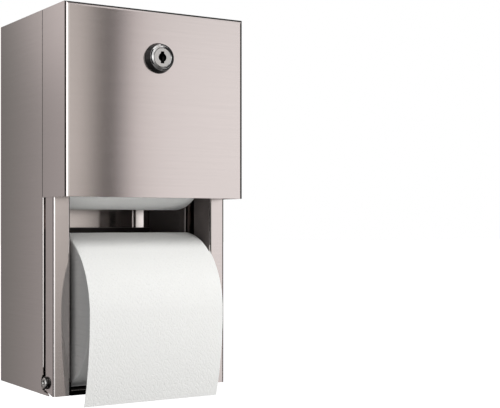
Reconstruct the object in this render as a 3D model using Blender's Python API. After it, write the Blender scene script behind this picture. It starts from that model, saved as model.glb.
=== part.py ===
"""Wall dispenser for two toilet rolls, one above the other, in a cabinet of satin steel.

The cabinet hangs on a wall. The door and the roll frame behind it are one unit, which tilts forward
on two rivets at the cabinet's bottom front corners and is held shut by a cam lock. Each roll turns on
a ribbed spindle whose ends run in a track in the frame's side panels. The reserve roll waits on the
track's upper branch, behind two gates that hang in front of its spindle.

X runs across the front, Y runs back to the wall and Z runs up. The origin is the middle of the
cabinet's back, on the wall. All sizes are in metres.
"""

import math

import bmesh
import bpy
from mathutils import Vector

# Toilet rolls. The cabinet is sized round them.
ROLL_RADIUS = 0.06085
ROLL_WIDTH = 0.1155
ROLL_EDGE_RADIUS = 0.0006
CORE_RADIUS = 0.021
CORE_WALL = 0.0015

# Room round the rolls
ROLL_END_GAP = 0.00385
ROLL_FRONT_INSET = 0.00025
ROLL_FLOOR_GAP = 0.0015
ROLL_BACK_GAP = 0.0015
ROLL_SPACING = 0.0188
ROLL_HEADROOM = 0.0314
RESERVE_OFFSET = 0.01245
RESERVE_ROLL_SHIFT = 0.002

# Gaps between pieces
SEAM = 0.0003
CUT_OVERRUN = 0.005

# Cabinet sheets
CABINET_SHEET = 0.0009
HEM_DEPTH = 0.008
HEM_FOLD_GAP = 0.0002
HEM_START_HEIGHT = 0.021
TOE_LEAD = 0.0115
TOE_TIP_HEIGHT = 0.0013

# Screw holes in the back
SCREW_HOLE_RADIUS = 0.00275
SCREW_HOLE_SIDE_INSET = 0.0325
SCREW_HOLE_END_INSET = 0.046

# Door
RESERVE_ROLL_SHOWN = 0.0086
DOOR_DEPTH = 0.0446
DOOR_SHEET = 0.0012
DOOR_BEND_RADIUS = 0.0028
DOOR_LIP_DEPTH = 0.007
DOOR_LIP_END_GAP = 0.003

# Tilting roll frame
FRAME_SHEET = 0.0012
FRAME_BEND_RADIUS = 0.0006
FRAME_LEAD = 0.0179
RETURN_GAP = 0.0024
CHANNEL_WIDTH = 0.0139
FRAME_TOP_GAP = 0.0038
FRAME_REAR_GAP = 0.0009

# Bottom bar of the frame
BAR_SHEET = 0.0009
BAR_DEPTH = 0.0165
BAR_TAB_HEIGHT = 0.01

# Tilt pivots
PIVOT_LEAD = 0.0044
PIVOT_HEIGHT = 0.0093
EAR_RADIUS = 0.0064
EAR_NOTCH_GAP = 0.0008
PIVOT_SHANK_RADIUS = 0.0025
PIVOT_HOLE_GAP = 0.0003
PIVOT_HEAD_RADIUS = 0.0048
PIVOT_HEAD_HEIGHT = 0.0023
PIVOT_DIMPLE_RADIUS = 0.0022
PIVOT_DIMPLE_DEPTH = 0.0009
PIVOT_TAIL_RADIUS = 0.004
PIVOT_TAIL_HEIGHT = 0.0013
WASHER_RADIUS = 0.0055
WASHER_THICKNESS = 0.0006

# Brackets that carry the pivots
BRACKET_SHEET = 0.0015
BRACKET_LENGTH = 0.035
BRACKET_HEIGHT = 0.0165

# Hanging end of the paper
TAIL_THICKNESS = 0.0005
TAIL_DROP_BELOW_CABINET = 0.0072
TAIL_CURL = 0.0105
TAIL_WRAP_ANGLE = math.radians(50)
TAIL_WRAP_STEPS = 10
TAIL_HANG_STEPS = 10

# Spindles
TRUNNION_RADIUS = 0.0075
TRUNNION_REACH = 0.0052
TRUNNION_CHAMFER = 0.001
TRACK_SIDE_GAP = 0.0005
SPINDLE_END_GAP = 0.0005
SPINDLE_COLLAR_WIDTH = 0.004
SPINDLE_BARREL_RADIUS = 0.0145
SPINDLE_RIB_THICKNESS = 0.003
SPINDLE_RIB_COUNT = 6

# Gates that hold the reserve roll back
GATE_SHEET = 0.002
GATE_PIVOT_RISE = 0.0222
GATE_EDGE_REACH = 0.0018
GATE_BOSS_RADIUS = 0.0062
GATE_LENGTH = 0.0285
GATE_TIP_WIDTH = 0.0075
GATE_PIN_RADIUS = 0.0025
GATE_HOLE_GAP = 0.0003
GATE_PIN_HEAD_RADIUS = 0.0042
GATE_PIN_HEAD_HEIGHT = 0.0012
GATE_PIN_INNER_HEIGHT = 0.0006
GATE_STOP_RADIUS = 0.0015
GATE_STOP_DROP = 0.0045
GATE_STOP_LENGTH = 0.0036

# Cam lock
LOCK_DROP = 0.037
BEZEL_RADIUS = 0.0118
BEZEL_SHOULDER_RADIUS = 0.0107
BEZEL_SHOULDER_REACH = 0.0046
BEZEL_RIM_RADIUS = 0.0102
BEZEL_RIM_REACH = 0.0059
BEZEL_FACE_RADIUS = 0.009
BEZEL_REACH = 0.0066
BARREL_RADIUS = 0.0094
BARREL_HOLE_GAP = 0.0003
BARREL_DEPTH = 0.0185
PLUG_RADIUS = 0.00715
PLUG_BORE_GAP = 0.0003
PLUG_FACE_RECESS = 0.0002
PLUG_TAIL_SIDE = 0.0056
PLUG_THREAD_RADIUS = 0.0024
KEY_RECESS_RADIUS = 0.0034
KEY_RECESS_DEPTH = 0.0028
KEY_SLOT_WIDTH = 0.003
KEY_SLOT_HEIGHT = 0.0092
KEY_SLOT_DEPTH = 0.009
LOCK_NUT_ACROSS_FLATS = 0.0235
LOCK_NUT_THICKNESS = 0.003
CAM_SHEET = 0.002
CAM_WIDTH = 0.013
CAM_REACH = 0.0235
CAM_NUT_ACROSS_FLATS = 0.009
CAM_NUT_THICKNESS = 0.0028

# Keeper that the cam locks behind
KEEPER_SHEET = 0.0015
KEEPER_WIDTH = 0.024
KEEPER_BEND_RADIUS = 0.0012
KEEPER_CAM_GAP = 0.0007
KEEPER_SWING_GAP = 0.0022
KEEPER_FLANGE_DEPTH = 0.018
KEEPER_POST_GAP = 0.0012

# Facets
ROUND_SEGMENTS = 40
ROLL_SEGMENTS = 80
BEND_STEPS = 4
CORNER_STEPS = 8
TOP_ARC_STEPS = 12
SMOOTH_ANGLE = math.radians(35)
MERGE_FRACTION = 1000

# Places worked out from the sizes above, as setbacks from the door's front and heights above the
# cabinet's bottom
LOWER_SETBACK = ROLL_FRONT_INSET + ROLL_RADIUS
LOWER_HEIGHT = CABINET_SHEET + ROLL_FLOOR_GAP + ROLL_RADIUS
RESERVE_SETBACK = LOWER_SETBACK + RESERVE_OFFSET
RESERVE_HEIGHT = LOWER_HEIGHT + 2 * ROLL_RADIUS + ROLL_SPACING
BACK_INNER_SETBACK = RESERVE_SETBACK + ROLL_RADIUS + ROLL_BACK_GAP
OVERALL_DEPTH = BACK_INNER_SETBACK + CABINET_SHEET
CABINET_HEIGHT = RESERVE_HEIGHT + ROLL_RADIUS + ROLL_HEADROOM
CABINET_SETBACK = DOOR_DEPTH + SEAM
FRAME_SETBACK = CABINET_SETBACK - FRAME_LEAD
PIVOT_SETBACK = CABINET_SETBACK - PIVOT_LEAD
DOOR_HEIGHT = ROLL_HEADROOM + 2 * ROLL_RADIUS - RESERVE_ROLL_SHOWN
FRAME_INNER = ROLL_WIDTH / 2 + ROLL_END_GAP
PANEL_OUTER = FRAME_INNER + FRAME_SHEET
FRAME_OUTER = FRAME_INNER + CHANNEL_WIDTH
HALF_WIDTH = FRAME_OUTER + SEAM + DOOR_SHEET
WALL_INNER = HALF_WIDTH - CABINET_SHEET
TOP_UNDERSIDE = CABINET_HEIGHT - 2 * CABINET_SHEET - HEM_FOLD_GAP
PANEL_BOTTOM = CABINET_SHEET + SEAM
FRAME_TOP = CABINET_HEIGHT - DOOR_SHEET - FRAME_TOP_GAP
FRAME_REAR = BACK_INNER_SETBACK - FRAME_REAR_GAP
FLOOR_FRONT = PIVOT_SETBACK + PIVOT_HEIGHT + SEAM
BRACKET_OUTER = FRAME_OUTER - FRAME_SHEET - WASHER_THICKNESS - 2 * SEAM
BRACKET_INNER = BRACKET_OUTER - BRACKET_SHEET
TRACK_HALF = TRUNNION_RADIUS + TRACK_SIDE_GAP
TRACK_FLOOR = LOWER_HEIGHT - TRUNNION_RADIUS - SEAM
BRANCH_FLOOR = RESERVE_HEIGHT - TRUNNION_RADIUS - SEAM
BRANCH_CEILING = BRANCH_FLOOR + 2 * TRACK_HALF
GATE_EDGE_SETBACK = RESERVE_SETBACK - TRUNNION_RADIUS - SEAM
GATE_PIVOT_SETBACK = GATE_EDGE_SETBACK - GATE_EDGE_REACH
GATE_PIVOT_HEIGHT = RESERVE_HEIGHT + GATE_PIVOT_RISE
LOCK_HEIGHT = CABINET_HEIGHT - LOCK_DROP
CAM_SETBACK = DOOR_SHEET + BARREL_DEPTH + SEAM


def along_y(setback):
    """Return the Y of a setback from the door's front."""
    return setback - OVERALL_DEPTH


def along_z(height):
    """Return the Z of a height above the cabinet's bottom."""
    return height - CABINET_HEIGHT / 2


def side_view(points):
    """Turn (setback, height) pairs into (Y, Z) pairs."""
    return [(along_y(setback), along_z(height)) for setback, height in points]


def front_view(points):
    """Turn (x, height) pairs into (X, Z) pairs."""
    return [(x, along_z(height)) for x, height in points]


def plan_view(points):
    """Turn (x, setback) pairs into (X, Y) pairs."""
    return [(x, along_y(setback)) for x, setback in points]


def arc(centre, radius, start, end, steps):
    """Return points on an arc, its angles in radians from the first axis towards the second."""
    points = []
    for step in range(steps + 1):
        angle = start + (end - start) * step / steps
        points.append((centre[0] + radius * math.cos(angle), centre[1] + radius * math.sin(angle)))
    return points


def rounded_path(path, radius, steps):
    """Round the inner corners of an open path. Corners that meet share one point."""
    points = [path[0]]
    for before, corner, after in zip(path, path[1:], path[2:]):
        for point in rounded_corner(before, corner, after, radius, steps):
            if (Vector(point) - Vector(points[-1])).length > radius / MERGE_FRACTION:
                points.append(point)
    points.append(path[-1])
    return points


def rounded_corner(before, corner, after, radius, steps):
    """Return the arc that replaces one corner."""
    corner = Vector(corner)
    inward = (Vector(before) - corner).normalized()
    outward = (Vector(after) - corner).normalized()
    half_angle = inward.angle(outward) / 2
    setback = radius / math.tan(half_angle)
    centre = corner + (inward + outward).normalized() * radius / math.sin(half_angle)
    first = corner + inward * setback - centre
    last = corner + outward * setback - centre
    points = []
    for step in range(steps + 1):
        spoke = first.lerp(last, step / steps).normalized()
        points.append(tuple(centre + spoke * radius))
    return points


def strip_outline(path, thickness, bend_radius):
    """Return the outline of a bent sheet whose middle line follows a path."""
    middle = rounded_path(path, bend_radius + thickness / 2, BEND_STEPS)
    left, right = [], []
    for index, point in enumerate(middle):
        before = Vector(middle[max(index - 1, 0)])
        after = Vector(middle[min(index + 1, len(middle) - 1)])
        direction = (after - before).normalized()
        across = Vector((-direction.y, direction.x)) * thickness / 2
        left.append(tuple(Vector(point) + across))
        right.append(tuple(Vector(point) - across))
    return left + right[::-1]


def prism(outline, axis, low, high):
    """Extrude an outline along an axis. It lies in the plane of the two other axes, in XYZ order."""
    mesh = bmesh.new()
    place = {
        "X": lambda first, second, depth: (depth, first, second),
        "Y": lambda first, second, depth: (first, depth, second),
        "Z": lambda first, second, depth: (first, second, depth),
    }[axis]
    bottom = [mesh.verts.new(place(first, second, low)) for first, second in outline]
    face = mesh.faces.new(bottom)
    extruded = bmesh.ops.extrude_face_region(mesh, geom=[face])
    moved = [item for item in extruded["geom"] if isinstance(item, bmesh.types.BMVert)]
    shift = Vector(place(0, 0, high)) - Vector(place(0, 0, low))
    bmesh.ops.translate(mesh, vec=shift, verts=moved)
    bmesh.ops.recalc_face_normals(mesh, faces=mesh.faces)
    return mesh


def turned(profile, axis, centre, segments, closed=False):
    """Turn a profile of (distance along the axis, radius) pairs round an axis through a centre.

    A closed profile gives a ring. The ends of an open one are capped.
    """
    mesh = bmesh.new()
    rings = []
    for distance, radius in profile:
        ring = []
        for segment in range(segments):
            angle = math.tau * segment / segments
            across, up = radius * math.cos(angle), radius * math.sin(angle)
            offset = {"X": (distance, across, up), "Y": (across, distance, up)}[axis]
            ring.append(mesh.verts.new(Vector(centre) + Vector(offset)))
        rings.append(ring)
    pairs = list(zip(rings, rings[1:]))
    if closed:
        pairs.append((rings[-1], rings[0]))
    else:
        mesh.faces.new(rings[0])
        mesh.faces.new(rings[-1])
    for ring, following in pairs:
        for segment in range(segments):
            beside = (segment + 1) % segments
            mesh.faces.new([ring[segment], ring[beside], following[beside], following[segment]])
    bmesh.ops.recalc_face_normals(mesh, faces=mesh.faces)
    return mesh


def disc(side, near, far, radius, setback, height):
    """Round cutter across one side's sheet, between two distances from the middle."""
    centre = (0, along_y(setback), along_z(height))
    return turned(on_side(side, [(near, radius), (far, radius)]), "X", centre, ROUND_SEGMENTS)


def on_side(side, profile):
    """Mirror a turned profile's distances to one side."""
    return [(side * distance, radius) for distance, radius in profile]


def clear_scene():
    """Remove every object of the scene."""
    for item in list(bpy.data.objects):
        bpy.data.objects.remove(item, do_unlink=True)


def make_material(name, colour, metallic, roughness):
    """Return a plain Principled material."""
    material = bpy.data.materials.new(name)
    material.use_nodes = True
    shader = material.node_tree.nodes["Principled BSDF"]
    shader.inputs["Base Color"].default_value = (*colour, 1)
    shader.inputs["Metallic"].default_value = metallic
    shader.inputs["Roughness"].default_value = roughness
    material.diffuse_color = (*colour, 1)
    return material


def add_pivot(name, place, parent=None):
    """Add an empty at a joint's axis."""
    pivot = bpy.data.objects.new(name, None)
    bpy.context.scene.collection.objects.link(pivot)
    pivot.parent = parent
    pivot.location = Vector(place) - world_place(parent)
    return pivot


def world_place(pivot):
    """Return where a pivot stands, counted through its parents."""
    place = Vector((0, 0, 0))
    while pivot is not None:
        place += pivot.location
        pivot = pivot.parent
    return place


def add_piece(name, mesh, material, pivot=None, smooth=True):
    """Make an object of a mesh given in world places, carried by a pivot."""
    bmesh.ops.translate(mesh, vec=-world_place(pivot), verts=mesh.verts)
    data = bpy.data.meshes.new(name)
    mesh.to_mesh(data)
    mesh.free()
    if smooth:
        data.shade_smooth()
        data.set_sharp_from_angle(angle=SMOOTH_ANGLE)
    piece = bpy.data.objects.new(name, data)
    piece.parent = pivot
    bpy.context.scene.collection.objects.link(piece)
    if material is not None:
        data.materials.append(material)
    return piece


def combine(piece, mesh, operation):
    """Cut a shape from a piece, or join one to it."""
    guide = add_piece(f"{piece.name}_{operation.lower()}_{len(piece.modifiers)}", mesh, None, piece.parent)
    guide.hide_render = True
    guide.display_type = "WIRE"
    modifier = piece.modifiers.new(operation.lower(), "BOOLEAN")
    modifier.operation = operation
    modifier.solver = "EXACT"
    modifier.object = guide


def cut(piece, mesh):
    """Cut a shape from a piece."""
    combine(piece, mesh, "DIFFERENCE")


def join(piece, mesh):
    """Join a shape to a piece as one body."""
    combine(piece, mesh, "UNION")


def span(side, inner, outer):
    """Return the low and high X of a span given as distances from the middle, on one side."""
    return sorted((side * inner, side * outer))


def side_name(side):
    """Name the side that a sign stands for, as seen from the front."""
    return "left" if side < 0 else "right"


def cabinet_side(side, steel):
    """Side wall: hemmed front edge above, and a toe that runs forward under the tilt pivot."""
    pivot = (PIVOT_SETBACK, PIVOT_HEIGHT)
    notch_radius = EAR_RADIUS + EAR_NOTCH_GAP
    notch_top = math.acos((CABINET_SETBACK - PIVOT_SETBACK) / notch_radius)
    toe = CABINET_SETBACK - TOE_LEAD
    outline = [(OVERALL_DEPTH, 0), (toe, 0), (toe, TOE_TIP_HEIGHT)]
    outline += arc(pivot, notch_radius, -math.pi / 2, notch_top, CORNER_STEPS)
    outline += [(CABINET_SETBACK, CABINET_HEIGHT), (OVERALL_DEPTH, CABINET_HEIGHT)]
    wall = add_piece(f"cabinet_{side_name(side)}_side",
                     prism(side_view(outline), "X", *span(side, WALL_INNER, HALF_WIDTH)), steel)
    middle = side * (HALF_WIDTH - CABINET_SHEET / 2)
    folded = middle - side * (CABINET_SHEET + HEM_FOLD_GAP)
    fold = CABINET_SETBACK + CABINET_SHEET / 2
    path = [(middle, fold + HEM_DEPTH), (middle, fold), (folded, fold), (folded, fold + HEM_DEPTH)]
    hem = strip_outline(path, CABINET_SHEET, HEM_FOLD_GAP / 2)
    near, far = side * (WALL_INNER - CUT_OVERRUN), side * (HALF_WIDTH + CUT_OVERRUN)
    raw_edge = [(near, CABINET_SETBACK - CUT_OVERRUN), (far, CABINET_SETBACK - CUT_OVERRUN),
                (far, fold + HEM_DEPTH / 2), (near, fold + HEM_DEPTH / 2)]
    bottom, top = along_z(HEM_START_HEIGHT), along_z(CABINET_HEIGHT)
    cut(wall, prism(plan_view(raw_edge), "Z", bottom, top + CUT_OVERRUN))
    join(wall, prism(plan_view(hem), "Z", bottom, top))
    return wall


def cabinet_back(steel):
    """Back sheet with four holes for wall screws."""
    edge = WALL_INNER - SEAM
    outline = front_view([(-edge, 0), (edge, 0), (edge, CABINET_HEIGHT), (-edge, CABINET_HEIGHT)])
    back = add_piece("cabinet_back", prism(outline, "Y", along_y(BACK_INNER_SETBACK), 0), steel)
    for x in (SCREW_HOLE_SIDE_INSET - HALF_WIDTH, HALF_WIDTH - SCREW_HOLE_SIDE_INSET):
        for height in (SCREW_HOLE_END_INSET, CABINET_HEIGHT - SCREW_HOLE_END_INSET):
            hole = [(-CUT_OVERRUN, SCREW_HOLE_RADIUS), (CUT_OVERRUN, SCREW_HOLE_RADIUS)]
            cut(back, turned(hole, "Y", (x, 0, along_z(height)), ROUND_SEGMENTS))
    return back


def cabinet_top(steel):
    """Top sheet with a hem folded under its front edge, and corners cut out for the sides' hems."""
    middle = CABINET_HEIGHT - CABINET_SHEET / 2
    folded = middle - CABINET_SHEET - HEM_FOLD_GAP
    fold = CABINET_SETBACK + CABINET_SHEET / 2
    path = [(BACK_INNER_SETBACK - SEAM, middle), (fold, middle), (fold, folded),
            (fold + HEM_DEPTH, folded)]
    outline = side_view(strip_outline(path, CABINET_SHEET, HEM_FOLD_GAP / 2))
    edge = WALL_INNER - SEAM
    top = add_piece("cabinet_top", prism(outline, "X", -edge, edge), steel)
    hem_edge = WALL_INNER - CABINET_SHEET - HEM_FOLD_GAP - SEAM
    hem_end = CABINET_SETBACK + CABINET_SHEET / 2 + HEM_DEPTH + SEAM
    low, high = along_z(folded - CUT_OVERRUN), along_z(middle + CUT_OVERRUN)
    for side in (-1, 1):
        near, far = side * hem_edge, side * (edge + CUT_OVERRUN)
        corner = [(near, CABINET_SETBACK - CUT_OVERRUN), (far, CABINET_SETBACK - CUT_OVERRUN),
                  (far, hem_end), (near, hem_end)]
        cut(top, prism(plan_view(corner), "Z", low, high))
    return top


def cabinet_bottom(steel):
    """Bottom sheet. It stops short of the front, where the tilting frame swings past it."""
    edge = WALL_INNER - SEAM
    rear = BACK_INNER_SETBACK - SEAM
    outline = plan_view([(-edge, FLOOR_FRONT), (edge, FLOOR_FRONT), (edge, rear), (-edge, rear)])
    return add_piece("cabinet_bottom", prism(outline, "Z", along_z(0), along_z(CABINET_SHEET)), steel)


def pivot_bracket(side, steel):
    """Bracket on the cabinet's floor that carries one tilt pivot."""
    pivot = (PIVOT_SETBACK, PIVOT_HEIGHT)
    floor = CABINET_SHEET + SEAM
    drop = PIVOT_HEIGHT - floor
    reach = PIVOT_SETBACK - FRAME_SETBACK - FRAME_SHEET - SEAM
    toe = PIVOT_SETBACK - math.sqrt(reach ** 2 - drop ** 2)
    rear = FLOOR_FRONT + SEAM + BRACKET_LENGTH
    outline = [(toe, floor), (rear, floor), (rear, BRACKET_HEIGHT)]
    outline += arc(pivot, EAR_RADIUS, math.pi / 2, math.pi * 7 / 6, CORNER_STEPS)
    plate = add_piece(f"{side_name(side)}_pivot_bracket",
                      prism(side_view(outline), "X", *span(side, BRACKET_INNER, BRACKET_OUTER)), steel)
    foot_front = FLOOR_FRONT + SEAM
    foot = plan_view([(side * BRACKET_INNER, foot_front), (side * (WALL_INNER - SEAM), foot_front),
                      (side * (WALL_INNER - SEAM), rear), (side * BRACKET_INNER, rear)])
    join(plate, prism(foot, "Z", along_z(floor), along_z(floor + BRACKET_SHEET)))
    cut(plate, disc(side, BRACKET_INNER - CUT_OVERRUN, BRACKET_OUTER + CUT_OVERRUN,
                    PIVOT_SHANK_RADIUS + PIVOT_HOLE_GAP, PIVOT_SETBACK, PIVOT_HEIGHT))
    return plate


def pivot_rivet(side, steel):
    """Shouldered rivet on which the frame's ear turns."""
    head = FRAME_OUTER + SEAM
    tail = BRACKET_INNER - SEAM
    profile = [
        (tail - PIVOT_TAIL_HEIGHT, PIVOT_TAIL_RADIUS),
        (tail, PIVOT_TAIL_RADIUS),
        (tail, PIVOT_SHANK_RADIUS),
        (head, PIVOT_SHANK_RADIUS),
        (head, PIVOT_HEAD_RADIUS),
        (head + PIVOT_HEAD_HEIGHT / 2, PIVOT_HEAD_RADIUS),
        (head + PIVOT_HEAD_HEIGHT, (PIVOT_HEAD_RADIUS + PIVOT_DIMPLE_RADIUS) / 2),
        (head + PIVOT_HEAD_HEIGHT, PIVOT_DIMPLE_RADIUS),
        (head + PIVOT_HEAD_HEIGHT - PIVOT_DIMPLE_DEPTH, PIVOT_DIMPLE_RADIUS / 2),
    ]
    centre = (0, along_y(PIVOT_SETBACK), along_z(PIVOT_HEIGHT))
    return add_piece(f"{side_name(side)}_pivot_rivet",
                     turned(on_side(side, profile), "X", centre, ROUND_SEGMENTS), steel)


def pivot_washer(side, plastic):
    """Thin washer between the frame's ear and the bracket."""
    outer = FRAME_OUTER - FRAME_SHEET - SEAM
    bore = PIVOT_SHANK_RADIUS + PIVOT_HOLE_GAP
    profile = [(outer - WASHER_THICKNESS, bore), (outer - WASHER_THICKNESS, WASHER_RADIUS),
               (outer, WASHER_RADIUS), (outer, bore)]
    centre = (0, along_y(PIVOT_SETBACK), along_z(PIVOT_HEIGHT))
    return add_piece(f"{side_name(side)}_pivot_washer",
                     turned(on_side(side, profile), "X", centre, ROUND_SEGMENTS, closed=True), plastic)


def latch_keeper(steel):
    """Bent strip under the cabinet's top. The lock's cam turns up behind its lip."""
    flange = TOP_UNDERSIDE - SEAM - KEEPER_SHEET / 2
    post = CABINET_SETBACK + KEEPER_POST_GAP + KEEPER_SHEET / 2
    arm = LOCK_HEIGHT + CAM_REACH + KEEPER_SWING_GAP + KEEPER_SHEET / 2
    lip = CAM_SETBACK - KEEPER_CAM_GAP - KEEPER_SHEET / 2
    lip_end = LOCK_HEIGHT + BARREL_RADIUS + KEEPER_SWING_GAP
    path = [(post + KEEPER_FLANGE_DEPTH, flange), (post, flange), (post, arm), (lip, arm),
            (lip, lip_end)]
    outline = side_view(strip_outline(path, KEEPER_SHEET, KEEPER_BEND_RADIUS))
    return add_piece("latch_keeper", prism(outline, "X", -KEEPER_WIDTH / 2, KEEPER_WIDTH / 2), steel)


def track_outline():
    """Track in a side panel: a drop for the roll in use, and a branch that opens at the rear."""
    front = LOWER_SETBACK - TRACK_HALF
    back = LOWER_SETBACK + TRACK_HALF
    seat = (LOWER_SETBACK, TRACK_FLOOR + TRACK_HALF)
    corner = (front + TRACK_HALF, BRANCH_CEILING - TRACK_HALF)
    rear = FRAME_REAR + CUT_OVERRUN
    outline = arc(seat, TRACK_HALF, math.pi, math.tau, CORNER_STEPS)
    outline += [(back, BRANCH_FLOOR), (rear, BRANCH_FLOOR), (rear, BRANCH_CEILING)]
    outline += arc(corner, TRACK_HALF, math.pi / 2, math.pi, CORNER_STEPS)
    return outline


def side_frame(side, steel, pivot):
    """Side panel of the roll frame, folded round to the front flange and the outer return."""
    inner = side * (FRAME_INNER + FRAME_SHEET / 2)
    outer = side * (FRAME_OUTER - FRAME_SHEET / 2)
    front = FRAME_SETBACK + FRAME_SHEET / 2
    return_end = CABINET_SETBACK - RETURN_GAP
    ear_end = PIVOT_SETBACK + EAR_RADIUS
    path = [(inner, FRAME_REAR), (inner, front), (outer, front), (outer, ear_end)]
    sheet = plan_view(strip_outline(path, FRAME_SHEET, FRAME_BEND_RADIUS))
    frame = add_piece(f"{side_name(side)}_side_frame",
                      prism(sheet, "Z", along_z(0), along_z(FRAME_TOP)), steel, pivot)

    panel_low, panel_high = span(side, FRAME_INNER - CUT_OVERRUN, PANEL_OUTER + CUT_OVERRUN)
    cut(frame, prism(side_view(track_outline()), "X", panel_low, panel_high))
    step, behind = FRAME_SETBACK + BAR_DEPTH, FRAME_REAR + CUT_OVERRUN
    below = [(step, -CUT_OVERRUN), (behind, -CUT_OVERRUN), (behind, PANEL_BOTTOM), (step, PANEL_BOTTOM)]
    cut(frame, prism(side_view(below), "X", panel_low, panel_high))

    swing = FRAME_TOP - PIVOT_HEIGHT
    lean = math.asin((FRAME_REAR - PIVOT_SETBACK) / swing)
    crown = arc((PIVOT_SETBACK, PIVOT_HEIGHT), swing, math.pi / 2 - lean, math.pi / 2, TOP_ARC_STEPS)
    crown = crown[:-1] + [(PIVOT_SETBACK, FRAME_TOP + CUT_OVERRUN)]
    crown += [(behind, FRAME_TOP + CUT_OVERRUN), (behind, crown[0][1])]
    cut(frame, prism(side_view(crown), "X", panel_low, panel_high))

    ear_top = PIVOT_HEIGHT + math.sqrt(EAR_RADIUS ** 2 - (return_end - PIVOT_SETBACK) ** 2)
    ear = arc((PIVOT_SETBACK, PIVOT_HEIGHT), EAR_RADIUS, -math.pi / 2,
              math.atan2(ear_top - PIVOT_HEIGHT, return_end - PIVOT_SETBACK), CORNER_STEPS)
    rear = ear_end + CUT_OVERRUN
    beyond = [(FRAME_SETBACK + FRAME_SHEET + FRAME_BEND_RADIUS, 0)]
    beyond += ear + [(return_end, FRAME_TOP + CUT_OVERRUN), (rear, FRAME_TOP + CUT_OVERRUN)]
    beyond += [(rear, -CUT_OVERRUN), (beyond[0][0], -CUT_OVERRUN)]
    return_low, return_high = span(side, FRAME_OUTER - FRAME_SHEET - FRAME_BEND_RADIUS,
                                   FRAME_OUTER + CUT_OVERRUN)
    cut(frame, prism(side_view(beyond), "X", return_low, return_high))

    cut(frame, disc(side, FRAME_OUTER - FRAME_SHEET - CUT_OVERRUN, FRAME_OUTER + CUT_OVERRUN,
                    PIVOT_SHANK_RADIUS + PIVOT_HOLE_GAP, PIVOT_SETBACK, PIVOT_HEIGHT))
    cut(frame, disc(side, FRAME_INNER - CUT_OVERRUN, PANEL_OUTER + CUT_OVERRUN,
                    GATE_PIN_RADIUS + GATE_HOLE_GAP, GATE_PIVOT_SETBACK, GATE_PIVOT_HEIGHT))
    return frame


def bottom_bar(steel, pivot):
    """Plate that ties the two side frames together below the roll, with an upright tab at each."""
    end = FRAME_INNER - SEAM
    front = FRAME_SETBACK
    rear = front + BAR_DEPTH
    outline = plan_view([(-end, front), (end, front), (end, rear), (-end, rear)])
    bar = add_piece("frame_bottom_bar", prism(outline, "Z", along_z(0), along_z(BAR_SHEET)), steel, pivot)
    tab_front = front + FRAME_SHEET + FRAME_BEND_RADIUS
    for side in (-1, 1):
        low, high = span(side, end - BAR_SHEET, end)
        tab = [(tab_front, 0), (rear, 0), (rear, BAR_TAB_HEIGHT), (tab_front, BAR_TAB_HEIGHT)]
        join(bar, prism(side_view(tab), "X", low, high))
    return bar


def door_shell(steel, pivot):
    """Door: front, top and both sides in one bent sheet, with a lip turned in along the bottom."""
    bottom = along_z(CABINET_HEIGHT - DOOR_HEIGHT)
    top = along_z(CABINET_HEIGHT)
    front = along_y(0)
    rear = along_y(DOOR_DEPTH)
    mesh = bmesh.new()
    corner = {}
    for x in (-HALF_WIDTH, HALF_WIDTH):
        for y in (front, rear):
            for z in (bottom, top):
                corner[x, y, z] = mesh.verts.new((x, y, z))
    left, right = -HALF_WIDTH, HALF_WIDTH
    sheets = [
        [(left, front, bottom), (right, front, bottom), (right, front, top), (left, front, top)],
        [(left, rear, bottom), (left, front, bottom), (left, front, top), (left, rear, top)],
        [(right, front, bottom), (right, rear, bottom), (right, rear, top), (right, front, top)],
        [(left, front, top), (right, front, top), (right, rear, top), (left, rear, top)],
    ]
    for sheet in sheets:
        mesh.faces.new([corner[place] for place in sheet])
    bend_start = along_y(DOOR_BEND_RADIUS)
    bends = [edge for edge in mesh.edges
             if len(edge.link_faces) == 2 and all(end.co.y < bend_start for end in edge.verts)]
    bmesh.ops.bevel(mesh, geom=bends, offset=DOOR_BEND_RADIUS, segments=BEND_STEPS, profile=0.5,
                    affect="EDGES", clamp_overlap=True)
    door = add_piece("door_shell", mesh, steel, pivot)
    wall = door.modifiers.new("sheet", "SOLIDIFY")
    wall.thickness = DOOR_SHEET
    wall.offset = -1
    wall.use_even_offset = True
    lip_edge = HALF_WIDTH - DOOR_SHEET - DOOR_LIP_END_GAP
    lip_bottom = CABINET_HEIGHT - DOOR_HEIGHT
    lip = [(DOOR_SHEET / 2, lip_bottom), (DOOR_SHEET + DOOR_LIP_DEPTH, lip_bottom),
           (DOOR_SHEET + DOOR_LIP_DEPTH, lip_bottom + DOOR_SHEET), (DOOR_SHEET / 2, lip_bottom + DOOR_SHEET)]
    join(door, prism(side_view(lip), "X", -lip_edge, lip_edge))
    hole = BARREL_RADIUS + BARREL_HOLE_GAP
    cut(door, turned([(-CUT_OVERRUN, hole), (CUT_OVERRUN, hole)], "Y",
                     (0, along_y(0), along_z(LOCK_HEIGHT)), ROUND_SEGMENTS))
    return door


def hexagon(centre, across_flats):
    """Return a hexagon's corners."""
    radius = across_flats / 2 / math.cos(math.pi / 6)
    return arc(centre, radius, 0, math.tau * 5 / 6, 5)


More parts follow.
